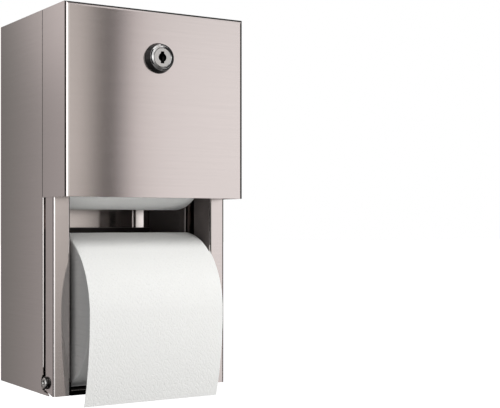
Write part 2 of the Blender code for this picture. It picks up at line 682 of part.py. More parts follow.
def lock_housing(chrome, pivot):
    """Lock body: a tapered bezel in front of the door and a hollow barrel behind it."""
    bore = PLUG_RADIUS + PLUG_BORE_GAP
    profile = [
        (-BEZEL_REACH + PLUG_FACE_RECESS, bore),
        (-BEZEL_REACH, bore + PLUG_FACE_RECESS),
        (-BEZEL_REACH, BEZEL_FACE_RADIUS),
        (-BEZEL_RIM_REACH, BEZEL_RIM_RADIUS),
        (-BEZEL_SHOULDER_REACH, BEZEL_SHOULDER_RADIUS),
        (-SEAM * 2, BEZEL_RADIUS),
        (-SEAM, BEZEL_RADIUS),
        (-SEAM, BARREL_RADIUS),
        (DOOR_SHEET + BARREL_DEPTH, BARREL_RADIUS),
        (DOOR_SHEET + BARREL_DEPTH, bore),
    ]
    centre = (0, along_y(0), along_z(LOCK_HEIGHT))
    return add_piece("lock_housing", turned(profile, "Y", centre, ROUND_SEGMENTS, closed=True), chrome, pivot)


def lock_nut(steel, pivot):
    """Hexagon nut that clamps the lock to the door."""
    start = DOOR_SHEET + SEAM
    nut = add_piece("lock_nut", prism(hexagon((0, along_z(LOCK_HEIGHT)), LOCK_NUT_ACROSS_FLATS), "Y",
                                      along_y(start), along_y(start + LOCK_NUT_THICKNESS)), steel, pivot)
    hole = BARREL_RADIUS + BARREL_HOLE_GAP
    end = start + LOCK_NUT_THICKNESS + CUT_OVERRUN
    cut(nut, turned([(0, hole), (end, hole)], "Y", (0, along_y(0), along_z(LOCK_HEIGHT)), ROUND_SEGMENTS))
    return nut


def lock_plug(chrome, pivot):
    """Turning plug with the key's opening in front and a square tail for the cam."""
    centre = (0, along_y(0), along_z(LOCK_HEIGHT))
    barrel_end = DOOR_SHEET + BARREL_DEPTH
    thread_end = CAM_SETBACK + CAM_SHEET + SEAM + CAM_NUT_THICKNESS
    face = -BEZEL_REACH + PLUG_FACE_RECESS
    profile = [(face, PLUG_RADIUS), (barrel_end, PLUG_RADIUS), (barrel_end, PLUG_THREAD_RADIUS),
               (thread_end, PLUG_THREAD_RADIUS)]
    plug = add_piece("lock_plug", turned(profile, "Y", centre, ROUND_SEGMENTS), chrome, pivot)
    half = PLUG_TAIL_SIDE / 2
    tail = front_view([(-half, LOCK_HEIGHT - half), (half, LOCK_HEIGHT - half),
                       (half, LOCK_HEIGHT + half), (-half, LOCK_HEIGHT + half)])
    join(plug, prism(tail, "Y", along_y(barrel_end - SEAM), along_y(CAM_SETBACK + CAM_SHEET)))
    recess = [(face - CUT_OVERRUN, KEY_RECESS_RADIUS), (face + KEY_RECESS_DEPTH, KEY_RECESS_RADIUS)]
    cut(plug, turned(recess, "Y", centre, ROUND_SEGMENTS))
    wide, tall = KEY_SLOT_WIDTH / 2, KEY_SLOT_HEIGHT / 2
    slot = front_view([(-wide, LOCK_HEIGHT - tall), (wide, LOCK_HEIGHT - tall),
                       (wide, LOCK_HEIGHT + tall), (-wide, LOCK_HEIGHT + tall)])
    cut(plug, prism(slot, "Y", along_y(face - CUT_OVERRUN), along_y(face + KEY_SLOT_DEPTH)))
    return plug


def lock_cam(steel, pivot):
    """Flat cam on the plug's tail. It points sideways when unlocked."""
    half = CAM_WIDTH / 2
    centre = (0, along_z(LOCK_HEIGHT))
    tip = (CAM_REACH - half, along_z(LOCK_HEIGHT))
    outline = arc(centre, half, math.pi / 2, math.pi * 3 / 2, CORNER_STEPS)
    outline += arc(tip, half, -math.pi / 2, math.pi / 2, CORNER_STEPS)
    cam = add_piece("lock_cam", prism(outline, "Y", along_y(CAM_SETBACK), along_y(CAM_SETBACK + CAM_SHEET)),
                    steel, pivot)
    hole = PLUG_TAIL_SIDE / 2 + SEAM
    square = front_view([(-hole, LOCK_HEIGHT - hole), (hole, LOCK_HEIGHT - hole),
                         (hole, LOCK_HEIGHT + hole), (-hole, LOCK_HEIGHT + hole)])
    cut(cam, prism(square, "Y", along_y(CAM_SETBACK - CUT_OVERRUN),
                   along_y(CAM_SETBACK + CAM_SHEET + CUT_OVERRUN)))
    return cam


def cam_nut(steel, pivot):
    """Nut that holds the cam on the plug."""
    start = CAM_SETBACK + CAM_SHEET + SEAM
    nut = add_piece("cam_nut", prism(hexagon((0, along_z(LOCK_HEIGHT)), CAM_NUT_ACROSS_FLATS), "Y",
                                     along_y(start), along_y(start + CAM_NUT_THICKNESS)), steel, pivot)
    hole = PLUG_THREAD_RADIUS + SEAM
    low, high = start - CUT_OVERRUN, start + CAM_NUT_THICKNESS + CUT_OVERRUN
    cut(nut, turned([(low, hole), (high, hole)], "Y", (0, along_y(0), along_z(LOCK_HEIGHT)), ROUND_SEGMENTS))
    return nut


def rib_outline(centre, rib_radius):
    """Cross-section of a spindle's barrel: a round core with ribs that carry the roll's tube."""
    points = []
    rib_share = math.asin(SPINDLE_RIB_THICKNESS / 2 / rib_radius)
    root_share = math.asin(SPINDLE_RIB_THICKNESS / 2 / SPINDLE_BARREL_RADIUS)
    pitch = math.tau / SPINDLE_RIB_COUNT
    for rib in range(SPINDLE_RIB_COUNT):
        middle = rib * pitch
        points += arc(centre, rib_radius, middle - rib_share, middle + rib_share, 2)
        points += arc(centre, SPINDLE_BARREL_RADIUS, middle + root_share, middle + pitch - root_share,
                      BEND_STEPS)
    return points


def spindle(name, setback, height, plastic, pivot):
    """One-piece spindle: ribbed barrel, end collars and the two trunnions that run in the tracks."""
    centre = (0, along_y(setback), along_z(height))
    rib_radius = CORE_RADIUS - CORE_WALL - SEAM
    shoulder = FRAME_INNER - SPINDLE_END_GAP
    collar = shoulder - SPINDLE_COLLAR_WIDTH
    tip = PANEL_OUTER + TRUNNION_REACH
    profile = [
        (-tip, TRUNNION_RADIUS - TRUNNION_CHAMFER),
        (-tip + TRUNNION_CHAMFER, TRUNNION_RADIUS),
        (-shoulder, TRUNNION_RADIUS),
        (-shoulder, rib_radius - TRUNNION_CHAMFER),
        (-shoulder + TRUNNION_CHAMFER, rib_radius),
        (-collar, rib_radius),
        (-collar + TRUNNION_CHAMFER, SPINDLE_BARREL_RADIUS - TRUNNION_CHAMFER),
    ]
    profile += [(-distance, radius) for distance, radius in reversed(profile)]
    body = add_piece(name, turned(profile, "X", centre, ROUND_SEGMENTS), plastic, pivot)
    ribs = rib_outline((along_y(setback), along_z(height)), rib_radius)
    overlap = collar + TRUNNION_CHAMFER
    join(body, prism(ribs, "X", -overlap, overlap))
    return body


def roll_paper(name, setback, height, shift, paper, pivot):
    """Wound paper of one roll."""
    centre = (-shift, along_y(setback), along_z(height))
    end = ROLL_WIDTH / 2
    bore = CORE_RADIUS + SEAM
    rim = arc((end - ROLL_EDGE_RADIUS, ROLL_RADIUS - ROLL_EDGE_RADIUS), ROLL_EDGE_RADIUS, 0, math.pi / 2, 2)
    profile = [(-distance, radius) for distance, radius in rim] + rim[::-1] + [(end, bore), (-end, bore)]
    return add_piece(name, turned(profile, "X", centre, ROLL_SEGMENTS, closed=True), paper, pivot)


def roll_core(name, setback, height, shift, card, pivot):
    """Cardboard tube of one roll."""
    centre = (-shift, along_y(setback), along_z(height))
    end = ROLL_WIDTH / 2
    bore = CORE_RADIUS - CORE_WALL
    profile = [(-end, bore), (-end, CORE_RADIUS), (end, CORE_RADIUS), (end, bore)]
    return add_piece(name, turned(profile, "X", centre, ROUND_SEGMENTS, closed=True), card, pivot)


def paper_tail(paper, pivot):
    """Loose end of the roll in use: it leaves the roll at the front and hangs below the cabinet."""
    inner = ROLL_RADIUS + SEAM
    outer = inner + TAIL_THICKNESS
    centre = (LOWER_SETBACK, LOWER_HEIGHT)
    drop = LOWER_HEIGHT + TAIL_DROP_BELOW_CABINET

    def hang(radius):
        points = []
        for step in range(1, TAIL_HANG_STEPS + 1):
            share = step / TAIL_HANG_STEPS
            points.append((LOWER_SETBACK - radius + TAIL_CURL * share ** 2, LOWER_HEIGHT - drop * share))
        return points

    start = math.pi - TAIL_WRAP_ANGLE
    outline = arc(centre, outer, start, math.pi, TAIL_WRAP_STEPS) + hang(outer)
    outline += hang(inner)[::-1] + arc(centre, inner, math.pi, start, TAIL_WRAP_STEPS)
    end = ROLL_WIDTH / 2
    return add_piece("paper_tail", prism(side_view(outline), "X", -end, end), paper, pivot)


def gate(side, steel, pivot):
    """Gate that hangs in front of the reserve spindle's trunnion and swings forward to let it by."""
    boss = (GATE_PIVOT_SETBACK, GATE_PIVOT_HEIGHT)
    edge = GATE_EDGE_SETBACK
    tip_radius = GATE_TIP_WIDTH / 2
    tip_height = GATE_PIVOT_HEIGHT - GATE_LENGTH + tip_radius
    shoulder = math.acos(GATE_EDGE_REACH / GATE_BOSS_RADIUS)
    outline = arc(boss, GATE_BOSS_RADIUS, shoulder, math.pi, CORNER_STEPS)
    outline += arc((edge - tip_radius, tip_height), tip_radius, math.pi, math.tau, CORNER_STEPS)
    near = PANEL_OUTER + SEAM
    plate = add_piece(f"{side_name(side)}_gate",
                      prism(side_view(outline), "X", *span(side, near, near + GATE_SHEET)), steel, pivot)
    cut(plate, disc(side, near - CUT_OVERRUN, near + GATE_SHEET + CUT_OVERRUN,
                    GATE_PIN_RADIUS + GATE_HOLE_GAP, GATE_PIVOT_SETBACK, GATE_PIVOT_HEIGHT))
    return plate


def gate_pin(side, steel, pivot):
    """Rivet on which a gate swings."""
    inner = FRAME_INNER - SEAM
    outer = PANEL_OUTER + 2 * SEAM + GATE_SHEET
    profile = [
        (inner - GATE_PIN_INNER_HEIGHT, GATE_PIN_HEAD_RADIUS - GATE_PIN_INNER_HEIGHT),
        (inner, GATE_PIN_HEAD_RADIUS),
        (inner, GATE_PIN_RADIUS),
        (outer, GATE_PIN_RADIUS),
        (outer, GATE_PIN_HEAD_RADIUS),
        (outer + GATE_PIN_HEAD_HEIGHT, GATE_PIN_HEAD_RADIUS - GATE_PIN_INNER_HEIGHT),
    ]
    centre = (0, along_y(GATE_PIVOT_SETBACK), along_z(GATE_PIVOT_HEIGHT))
    return add_piece(f"{side_name(side)}_gate_pin",
                     turned(on_side(side, profile), "X", centre, ROUND_SEGMENTS), steel, pivot)


def gate_stop(side, steel, pivot):
    """Stud on the side panel that the gate hangs against."""
    near = PANEL_OUTER + SEAM
    profile = [(near, GATE_STOP_RADIUS), (near + GATE_STOP_LENGTH, GATE_STOP_RADIUS)]
    centre = (0, along_y(GATE_EDGE_SETBACK + SEAM + GATE_STOP_RADIUS),
              along_z(GATE_PIVOT_HEIGHT - GATE_STOP_DROP))
    return add_piece(f"{side_name(side)}_gate_stop",
                     turned(on_side(side, profile), "X", centre, ROUND_SEGMENTS // 2), steel, pivot)


def build():
    """Build every piece."""
    clear_scene()
    satin = make_material("satin_steel", (0.62, 0.58, 0.56), 1.0, 0.32)
    bright = make_material("bright_steel", (0.6, 0.58, 0.57), 1.0, 0.2)
    chrome = make_material("chrome", (0.75, 0.75, 0.76), 1.0, 0.12)
    plated = make_material("plated_steel", (0.55, 0.55, 0.53), 1.0, 0.38)
    plastic = make_material("black_plastic", (0.02, 0.02, 0.022), 0.0, 0.42)
    nylon = make_material("nylon", (0.75, 0.74, 0.7), 0.0, 0.5)
    paper = make_material("tissue_paper", (0.9, 0.9, 0.89), 0.0, 0.95)
    card = make_material("core_card", (0.5, 0.42, 0.33), 0.0, 0.9)

    tilt = add_pivot("tilt_pivot", (0, along_y(PIVOT_SETBACK), along_z(PIVOT_HEIGHT)))
    lock = add_pivot("lock_axis", (0, along_y(CAM_SETBACK), along_z(LOCK_HEIGHT)), tilt)
    lower = add_pivot("lower_spindle_axis", (0, along_y(LOWER_SETBACK), along_z(LOWER_HEIGHT)), tilt)
    reserve = add_pivot("reserve_spindle_axis", (0, along_y(RESERVE_SETBACK), along_z(RESERVE_HEIGHT)), tilt)

    cabinet_back(satin)
    cabinet_top(satin)
    cabinet_bottom(satin)
    latch_keeper(plated)
    bottom_bar(satin, tilt)
    door_shell(satin, tilt)
    for side in (-1, 1):
        cabinet_side(side, satin)
        pivot_bracket(side, plated)
        pivot_rivet(side, bright)
        pivot_washer(side, nylon)
        side_frame(side, satin, tilt)
        gate_place = (side * PANEL_OUTER, along_y(GATE_PIVOT_SETBACK), along_z(GATE_PIVOT_HEIGHT))
        gate_pivot = add_pivot(f"{side_name(side)}_gate_pivot", gate_place, tilt)
        gate(side, plated, gate_pivot)
        gate_pin(side, bright, tilt)
        gate_stop(side, bright, tilt)

    lock_housing(chrome, tilt)
    lock_nut(plated, tilt)
    lock_plug(chrome, lock)
    lock_cam(plated, lock)
    cam_nut(plated, lock)

    spindle("lower_spindle", LOWER_SETBACK, LOWER_HEIGHT, plastic, lower)
    roll_core("lower_roll_core", LOWER_SETBACK, LOWER_HEIGHT, 0, card, lower)
    roll_paper("lower_roll_paper", LOWER_SETBACK, LOWER_HEIGHT, 0, paper, lower)
    paper_tail(paper, lower)
    spindle("reserve_spindle", RESERVE_SETBACK, RESERVE_HEIGHT, plastic, reserve)
    roll_core("reserve_roll_core", RESERVE_SETBACK, RESERVE_HEIGHT, RESERVE_ROLL_SHIFT, card, reserve)
    roll_paper("reserve_roll_paper", RESERVE_SETBACK, RESERVE_HEIGHT, RESERVE_ROLL_SHIFT, paper, reserve)


build()
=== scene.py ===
"""Looks of a wall dispenser for two toilet rolls: satin steel cabinet, chrome lock, embossed tissue.

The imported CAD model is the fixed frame. This script dresses its nodes, replaces the plain paper solids
with detailed ones, adds a floor hem and two corner strips that the CAD model has not, and sets up the
studio. All sizes are in metres, and the scales of patterns are in waves per metre.
"""

from __future__ import annotations

import logging
import math
from dataclasses import dataclass
from enum import Enum

import bpy
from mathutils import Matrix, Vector

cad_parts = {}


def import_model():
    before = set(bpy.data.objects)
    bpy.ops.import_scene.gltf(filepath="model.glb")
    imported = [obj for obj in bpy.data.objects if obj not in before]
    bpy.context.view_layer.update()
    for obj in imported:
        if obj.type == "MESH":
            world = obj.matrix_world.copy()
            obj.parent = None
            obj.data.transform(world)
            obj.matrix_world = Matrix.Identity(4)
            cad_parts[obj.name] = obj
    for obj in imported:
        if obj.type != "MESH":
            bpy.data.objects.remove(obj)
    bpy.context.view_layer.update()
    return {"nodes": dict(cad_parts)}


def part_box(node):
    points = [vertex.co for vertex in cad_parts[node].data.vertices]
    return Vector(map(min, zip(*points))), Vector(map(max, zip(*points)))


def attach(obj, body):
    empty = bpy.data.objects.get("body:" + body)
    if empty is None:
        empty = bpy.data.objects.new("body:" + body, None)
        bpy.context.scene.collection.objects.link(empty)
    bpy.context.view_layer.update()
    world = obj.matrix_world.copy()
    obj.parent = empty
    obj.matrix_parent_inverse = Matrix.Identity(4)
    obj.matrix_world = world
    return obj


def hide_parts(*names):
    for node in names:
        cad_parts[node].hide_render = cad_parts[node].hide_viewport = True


log = logging.getLogger("dispenser")

Colour = tuple[float, float, float]
Place = tuple[float, float, float]
Span = tuple[float, float]
Stops = tuple[tuple[float, float], ...]

BLACK = (0.01, 0.01, 0.01)
WHITE = (1.0, 1.0, 1.0)

# Light spreads equally far through the paper in red, green and blue
EVEN_GLOW = (1.0, 1.0, 1.0)

# Ranges of a noise over which fine grain and broad clouds go from dark to light
GRAIN_SPAN = (0.3, 0.7)
CLOUD_SPAN = (0.35, 0.7)

# Edges sharper than the first angle are rounded, and bends sharper than the second stay crisp
RIM_ANGLE = math.radians(60)
CRISP_ANGLE = math.radians(50)


class Signal:
    """A value on its way through a shader, which takes part in Python arithmetic."""

    def __init__(self, graph: Graph, socket: bpy.types.NodeSocket) -> None:
        """Wrap a node's output.

        Args:
            graph: The node tree that the socket belongs to.
            socket: The output socket.
        """
        self.graph = graph
        self.socket = socket

    def _with(self, operation: str, first: object, second: object) -> Signal:
        """Return the result of a two-sided Math node."""
        made = self.graph.node("ShaderNodeMath", {"operation": operation}, {0: first, 1: second})
        return Signal(self.graph, made.outputs[0])

    def __add__(self, other: object) -> Signal:
        """Add a value."""
        return self._with("ADD", self, other)

    def __radd__(self, other: object) -> Signal:
        """Add this to a number."""
        return self._with("ADD", other, self)

    def __sub__(self, other: object) -> Signal:
        """Subtract a value."""
        return self._with("SUBTRACT", self, other)

    def __rsub__(self, other: object) -> Signal:
        """Subtract this from a number."""
        return self._with("SUBTRACT", other, self)

    def __mul__(self, other: object) -> Signal:
        """Multiply by a value."""
        return self._with("MULTIPLY", self, other)

    def __rmul__(self, other: object) -> Signal:
        """Multiply a number by this."""
        return self._with("MULTIPLY", other, self)

    def __truediv__(self, other: object) -> Signal:
        """Divide by a value."""
        return self._with("DIVIDE", self, other)

    def called(self, operation: str, other: object = 0.0) -> Signal:
        """Return another of the Math node's operations on this value.

        Args:
            operation: The Math node's name for it, such as SINE.
            other: The second value, where the operation has one.

        Returns:
            The result.
        """
        return self._with(operation, self, other)

    def between(self, low: float, high: float, start: float = 0.0, end: float = 1.0) -> Signal:
        """Map a range of this value to another range, clamped.

        Args:
            low: Value that gives start.
            high: Value that gives end.
            start: Result at low and below.
            end: Result at high and above.

        Returns:
            The mapped value.
        """
        made = self.graph.node("ShaderNodeMapRange", {"clamp": True, "interpolation_type": "SMOOTHSTEP"},
                               {"Value": self, "From Min": low, "From Max": high,
                                "To Min": start, "To Max": end})
        return Signal(self.graph, made.outputs[0])

    def wave(self, rate: float) -> Signal:
        """Return a sine wave from 0 to 1, at so many radians per unit of this value."""
        return (self * rate).called("SINE") * 0.5 + 0.5


class Graph:
    """Node tree of one material or of the world."""

    def __init__(self, owner: bpy.types.Material | bpy.types.World) -> None:
        """Start with an empty tree.

        Args:
            owner: What the tree belongs to.
        """
        owner.use_nodes = True
        self.tree = owner.node_tree
        self.tree.nodes.clear()

    def node(self, kind: str, settings: dict[str, object] | None = None,
             values: dict[int | str, object] | None = None) -> bpy.types.Node:
        """Add a node.

        Args:
            kind: Blender's name of the node type.
            settings: Its properties. "stops" fills a colour ramp.
            values: Numbers, colours or signals for its inputs.

        Returns:
            The node.
        """
        made = self.tree.nodes.new(kind)
        for name, value in (settings or {}).items():
            if name == "stops":
                self._fill(made.color_ramp, value)
            else:
                setattr(made, name, value)
        for name, value in (values or {}).items():
            if isinstance(value, Signal):
                self.tree.links.new(value.socket, made.inputs[name])
            else:
                made.inputs[name].default_value = value
        return made

    def _fill(self, ramp: bpy.types.ColorRamp, stops: list[tuple[float, Colour]]) -> None:
        """Give a ramp its stops.

        Args:
            ramp: The ramp.
            stops: Its positions and colours, from left to right.
        """
        while len(ramp.elements) > 1:
            ramp.elements.remove(ramp.elements[-1])
        ramp.elements[0].position = stops[0][0]
        ramp.elements[0].color = (*stops[0][1], 1)
        for position, colour in stops[1:]:
            ramp.elements.new(position).color = (*colour, 1)

    def signal(self, kind: str, settings: dict[str, object] | None = None,
               values: dict[int | str, object] | None = None, output: int | str = 0) -> Signal:
        """Add a node and return one of its outputs.

        Args:
            kind: Blender's name of the node type.
            settings: Its properties.
            values: Values for its inputs.
            output: Which output.

        Returns:
            The output as a signal.
        """
        return Signal(self, self.node(kind, settings, values).outputs[output])

    def place(self) -> Signal:
        """Return the object coordinates."""
        return self.signal("ShaderNodeTexCoord", output="Object")

    def axes(self, vector: Signal) -> tuple[Signal, Signal, Signal]:
        """Split a vector into its three numbers."""
        made = self.node("ShaderNodeSeparateXYZ", None, {0: vector})
        return tuple(Signal(self, made.outputs[index]) for index in range(3))

    def vector(self, x: object, y: object, z: object) -> Signal:
        """Join three numbers into a vector."""
        return self.signal("ShaderNodeCombineXYZ", None, {0: x, 1: y, 2: z})

    def distance(self, first: Signal, second: Signal) -> Signal:
        """Return how far a point of a plane with these two coordinates lies from the origin."""
        return (first * first + second * second).called("SQRT")

    def noise(self, vector: Signal, scale: float, detail: float = 2.0) -> Signal:
        """Return noise around one half.

        Args:
            vector: Where it is read.
            scale: Waves per metre.
            detail: Number of finer layers.

        Returns:
            The noise value.
        """
        return self.signal("ShaderNodeTexNoise", {"noise_dimensions": "3D"},
                           {"Vector": vector, "Scale": scale, "Detail": detail})

    def stretched(self, vector: Signal, scale: Place, detail: float = 2.0) -> Signal:
        """Return noise stretched by its own scale along each axis.

        Args:
            vector: Where it is read.
            scale: Waves per metre along X, Y and Z.
            detail: Number of finer layers.

        Returns:
            The noise value.
        """
        spread = self.signal("ShaderNodeMapping", None, {"Vector": vector, "Scale": scale})
        return self.noise(spread, 1.0, detail)

    def mixed(self, share: object, first: object, second: object, mode: str = "MIX") -> Signal:
        """Blend two colours.

        Args:
            share: Share of the second colour.
            first: First colour.
            second: Second colour.
            mode: Blend mode.

        Returns:
            The blended colour.
        """
        return self.signal("ShaderNodeMix", {"data_type": "RGBA", "blend_type": mode},
                           {0: share, 6: as_colour(first), 7: as_colour(second)}, 2)

    def bumped(self, height: Signal, distance: float, below: Signal | None = None) -> Signal:
        """Return a normal that follows a height.

        Args:
            height: Height, from 0 to 1.
            distance: Depth in metres of a height of 1.
            below: Another bump that this one lies on.

        Returns:
            The normal.
        """
        values = {"Height": height, "Distance": distance, "Strength": 1.0}
        if below is not None:
            values["Normal"] = below
        return self.signal("ShaderNodeBump", None, values)

    def surface(self, values: dict[str, object], share: Signal | None = None,
                changed: dict[str, object] | None = None) -> None:
        """End the tree in a Principled shader, or in a mix of it and a second one.

        Args:
            values: Its inputs.
            share: Share of the second shader.
            changed: Inputs in which the second shader differs.
        """
        shader = self.signal("ShaderNodeBsdfPrincipled", None, values)
        if share is not None:
            second = self.signal("ShaderNodeBsdfPrincipled", None, {**values, **changed})
            shader = self.signal("ShaderNodeMixShader", None, {0: share, 1: shader, 2: second})
        self.node("ShaderNodeOutputMaterial", None, {0: shader})


def as_colour(value: object) -> object:
    """Give a plain colour its alpha."""
    return (*value, 1.0) if isinstance(value, tuple) and len(value) == 3 else value


class Look:
    """A finish, which makes its own material."""

    name: str

    def material(self) -> bpy.types.Material:
        """Return the finish as a material."""
        made = bpy.data.materials.new(self.name)
        self.paint(Graph(made))
        return made

    def paint(self, graph: Graph) -> None:
        """Fill the material's empty node tree."""
        raise NotImplementedError


def worn(graph: Graph, place: Signal, scuff_scale: float = 1900, stain_scale: float = 420,
         stain_span: Span = (0.5, 0.75)) -> tuple[Signal, Signal]:
    """Read the wear of a small bright part.

    Args:
        graph: The part's node tree.
        place: Its object coordinates.
        scuff_scale: Scuffs per metre.
        stain_scale: Stains per metre.
        stain_span: Range of the noise over which a stain sets in.

    Returns:
        The scuffs, and the stains as 1 on a stain and 0 beside it.
    """
    return graph.noise(place, scuff_scale, 3.0), graph.noise(place, stain_scale).between(*stain_span)


@dataclass(frozen=True)
class SatinSteel(Look):
    """Stainless sheet with a fine grain that runs level along every upright face.

    The shade fields paint shade on it, dark and matt: over all that lies above shade_from, below shade_to and
    in front of shade_before at once, and over all that lies within shade_within of the middle.
    """

    name: str = "satin_steel_sheet"
    tint: Colour = (0.80, 0.745, 0.73)
    haze_tint: Colour = (0.70, 0.70, 0.66)
    roughness: float = 0.12
    stretch: float = 1.0
    grain_scale: float = 5200
    grain_length_scale: float = 45
    streak_scale: Place = (9, 9, 900)
    cloud_scale: float = 22
    wear_scale: float = 160
    wear_span: Span = (0.62, 0.8)
    grain_depth: float = 0.0000012
    grain_turn: float = 0.25
    grain_shade: float = 0.965
    streak_shade: float = 0.98
    haze_share: float = 0.05
    grain_roughness: float = 0.05
    cloud_roughness: float = 0.02
    wear_roughness: float = 0.015
    level_roughness: float = 0.1
    level_span: Span = (0.97, 0.985)
    shade_from: float = 1.0
    shade_to: float = 1.0
    shade_within: float = 0.0
    shade_before: float = 1.0
    shade_tint: Colour = (0.045, 0.04, 0.038)
    shade_share: float = 0.97
    shade_roughness: float = 0.7
    fade_below: float = 0.0002
    fade_above: float = 0.0008
    fade_aside: float = 0.0001

    def paint(self, graph: Graph) -> None:
        """Fill the material's empty node tree."""
        place = graph.place()
        level = self._level(graph)
        along, across = self.grain_length_scale, self.grain_scale
        upright_grain = graph.stretched(place, (along, along, across))
        level_grain = graph.stretched(place, (along, across, along))
        fine = upright_grain + (level_grain - upright_grain) * level
        streak = graph.stretched(place, self.streak_scale)
        cloud = graph.noise(place, self.cloud_scale, 3.0)
        wear = graph.noise(place, self.wear_scale, 4.0).between(*self.wear_span)
        shade = (fine.between(*GRAIN_SPAN, self.grain_shade, 1.0)
                 * streak.between(*GRAIN_SPAN, self.streak_shade, 1.0))
        tone = graph.mixed(1.0, self.tint, graph.vector(shade, shade, shade), "MULTIPLY")
        tone = graph.mixed(cloud.between(*CLOUD_SPAN, 0.0, self.haze_share), tone, self.haze_tint)
        # Painted shade: a dark, matt tint over the masked faces, where shade falls
        shade_mask = self._painted_shade(graph, place)
        tone = graph.mixed(shade_mask * self.shade_share, tone, self.shade_tint)
        rough = self.roughness + shade_mask * self.shade_roughness + level * self.level_roughness
        rough = rough + (fine - 0.5) * self.grain_roughness + (cloud - 0.5) * self.cloud_roughness
        graph.surface({
            "Base Color": tone, "Metallic": 1 - shade_mask, "Roughness": rough + wear * self.wear_roughness,
            "Specular IOR Level": 0.0,
            "Anisotropic": self.stretch, "Anisotropic Rotation": self.grain_turn,
            "Normal": graph.bumped(fine, self.grain_depth),
        }, level, {"Anisotropic": 0.0})

    def _level(self, graph: Graph) -> Signal:
        """Return 1 on level faces, whose grain has no upright axis to run round."""
        facing = graph.signal("ShaderNodeTexCoord", output="Normal")
        return graph.axes(facing)[2].called("ABSOLUTE").between(*self.level_span)

    def _painted_shade(self, graph: Graph, place: Signal) -> Signal:
        """Find where shade is painted.

        Args:
            graph: The material's node tree.
            place: The object coordinates.

        Returns:
            1 where shade is painted, and 0 elsewhere.
        """
        aside, back, up = graph.axes(place)
        aside = aside.called("ABSOLUTE")
        band = (up.between(self.shade_from - self.fade_below, self.shade_from)
                * up.between(self.shade_to, self.shade_to + self.fade_above, 1.0, 0.0)
                * back.between(self.shade_before - self.fade_aside, self.shade_before, 1.0, 0.0))
        inside = aside.between(self.shade_within - self.fade_aside, self.shade_within, 1.0, 0.0)
        return band.called("MAXIMUM", inside)


@dataclass(frozen=True)
class TurnedSteel(Look):
    """Bright steel of pins and studs."""

    name: str = "turned_steel"
    tint: Colour = (0.66, 0.65, 0.64)
    stain_tint: Colour = (0.42, 0.40, 0.38)
    stain_share: float = 0.25
    roughness: float = 0.2
    scuff_roughness: float = 0.14
    scuff_depth: float = 0.000006

    def paint(self, graph: Graph) -> None:
        """Fill the material's empty node tree."""
        scuffs, stain = worn(graph, graph.place())
        graph.surface({
            "Base Color": graph.mixed(stain * self.stain_share, self.tint, self.stain_tint),
            "Metallic": 1.0, "Roughness": self.roughness + scuffs * self.scuff_roughness,
            "Normal": graph.bumped(scuffs, self.scuff_depth),
        })


@dataclass(frozen=True)
class RivetSteel(Look):
    """Rivet whose face is bright steel and whose wall is painted dark as painted shade, at either end of an
    axle along X.
    """

    name: str = "rivet_steel"
    tint: Colour = (0.9, 0.89, 0.87)
    stain_tint: Colour = (0.40, 0.38, 0.36)
    stain_share: float = 0.3
    wall_shade_tint: Colour = (0.03, 0.03, 0.03)
    wall_shade_share: float = 0.95
    roughness: float = 0.34
    scuff_roughness: float = 0.12
    wall_gloss: float = 0.15
    scuff_depth: float = 0.000005
    face_x: float = 0.0
    wall_span: Span = (0.0005, 0.0008)

    def paint(self, graph: Graph) -> None:
        """Fill the material's empty node tree."""
        place = graph.place()
        depth = self.face_x - graph.axes(place)[0].called("ABSOLUTE")
        # Painted shade: the head's wall is painted dark
        wall = depth.between(*self.wall_span)
        scuffs, stain = worn(graph, place)
        tone = graph.mixed(stain * self.stain_share, self.tint, self.stain_tint)
        graph.surface({
            "Base Color": graph.mixed(wall * self.wall_shade_share, tone, self.wall_shade_tint), "Metallic": 1.0,
            "Roughness": self.roughness + scuffs * self.scuff_roughness - wall * self.wall_gloss,
            "Normal": graph.bumped(scuffs, self.scuff_depth),
        })


@dataclass(frozen=True)
class ZincPlate(Look):
    """Dull zinc on the inner fittings, with its faint crystals."""

    name: str = "zinc_plate"
    tint: Colour = (0.57, 0.575, 0.56)
    crystal_tint: Colour = (0.44, 0.46, 0.47)
    crystal_share: float = 0.35
    roughness: float = 0.36
    crystal_roughness: float = 0.16
    grain_roughness: float = 0.08
    crystal_scale: float = 650.0
    grain_scale: float = 2600
    grain_depth: float = 0.000008

    def paint(self, graph: Graph) -> None:
        """Fill the material's empty node tree."""
        place = graph.place()
        crystal = graph.signal("ShaderNodeTexVoronoi", {"feature": "F1"},
                               {"Vector": place, "Scale": self.crystal_scale, "Randomness": 1.0}, "Color")
        patch = graph.axes(crystal)[0]
        grain = graph.noise(place, self.grain_scale, 3.0)
        rough = self.roughness + (patch - 0.5) * self.crystal_roughness
        graph.surface({
            "Base Color": graph.mixed(patch * self.crystal_share, self.tint, self.crystal_tint),
            "Metallic": 1.0, "Roughness": rough + (grain - 0.5) * self.grain_roughness,
            "Normal": graph.bumped(grain, self.grain_depth),
        })


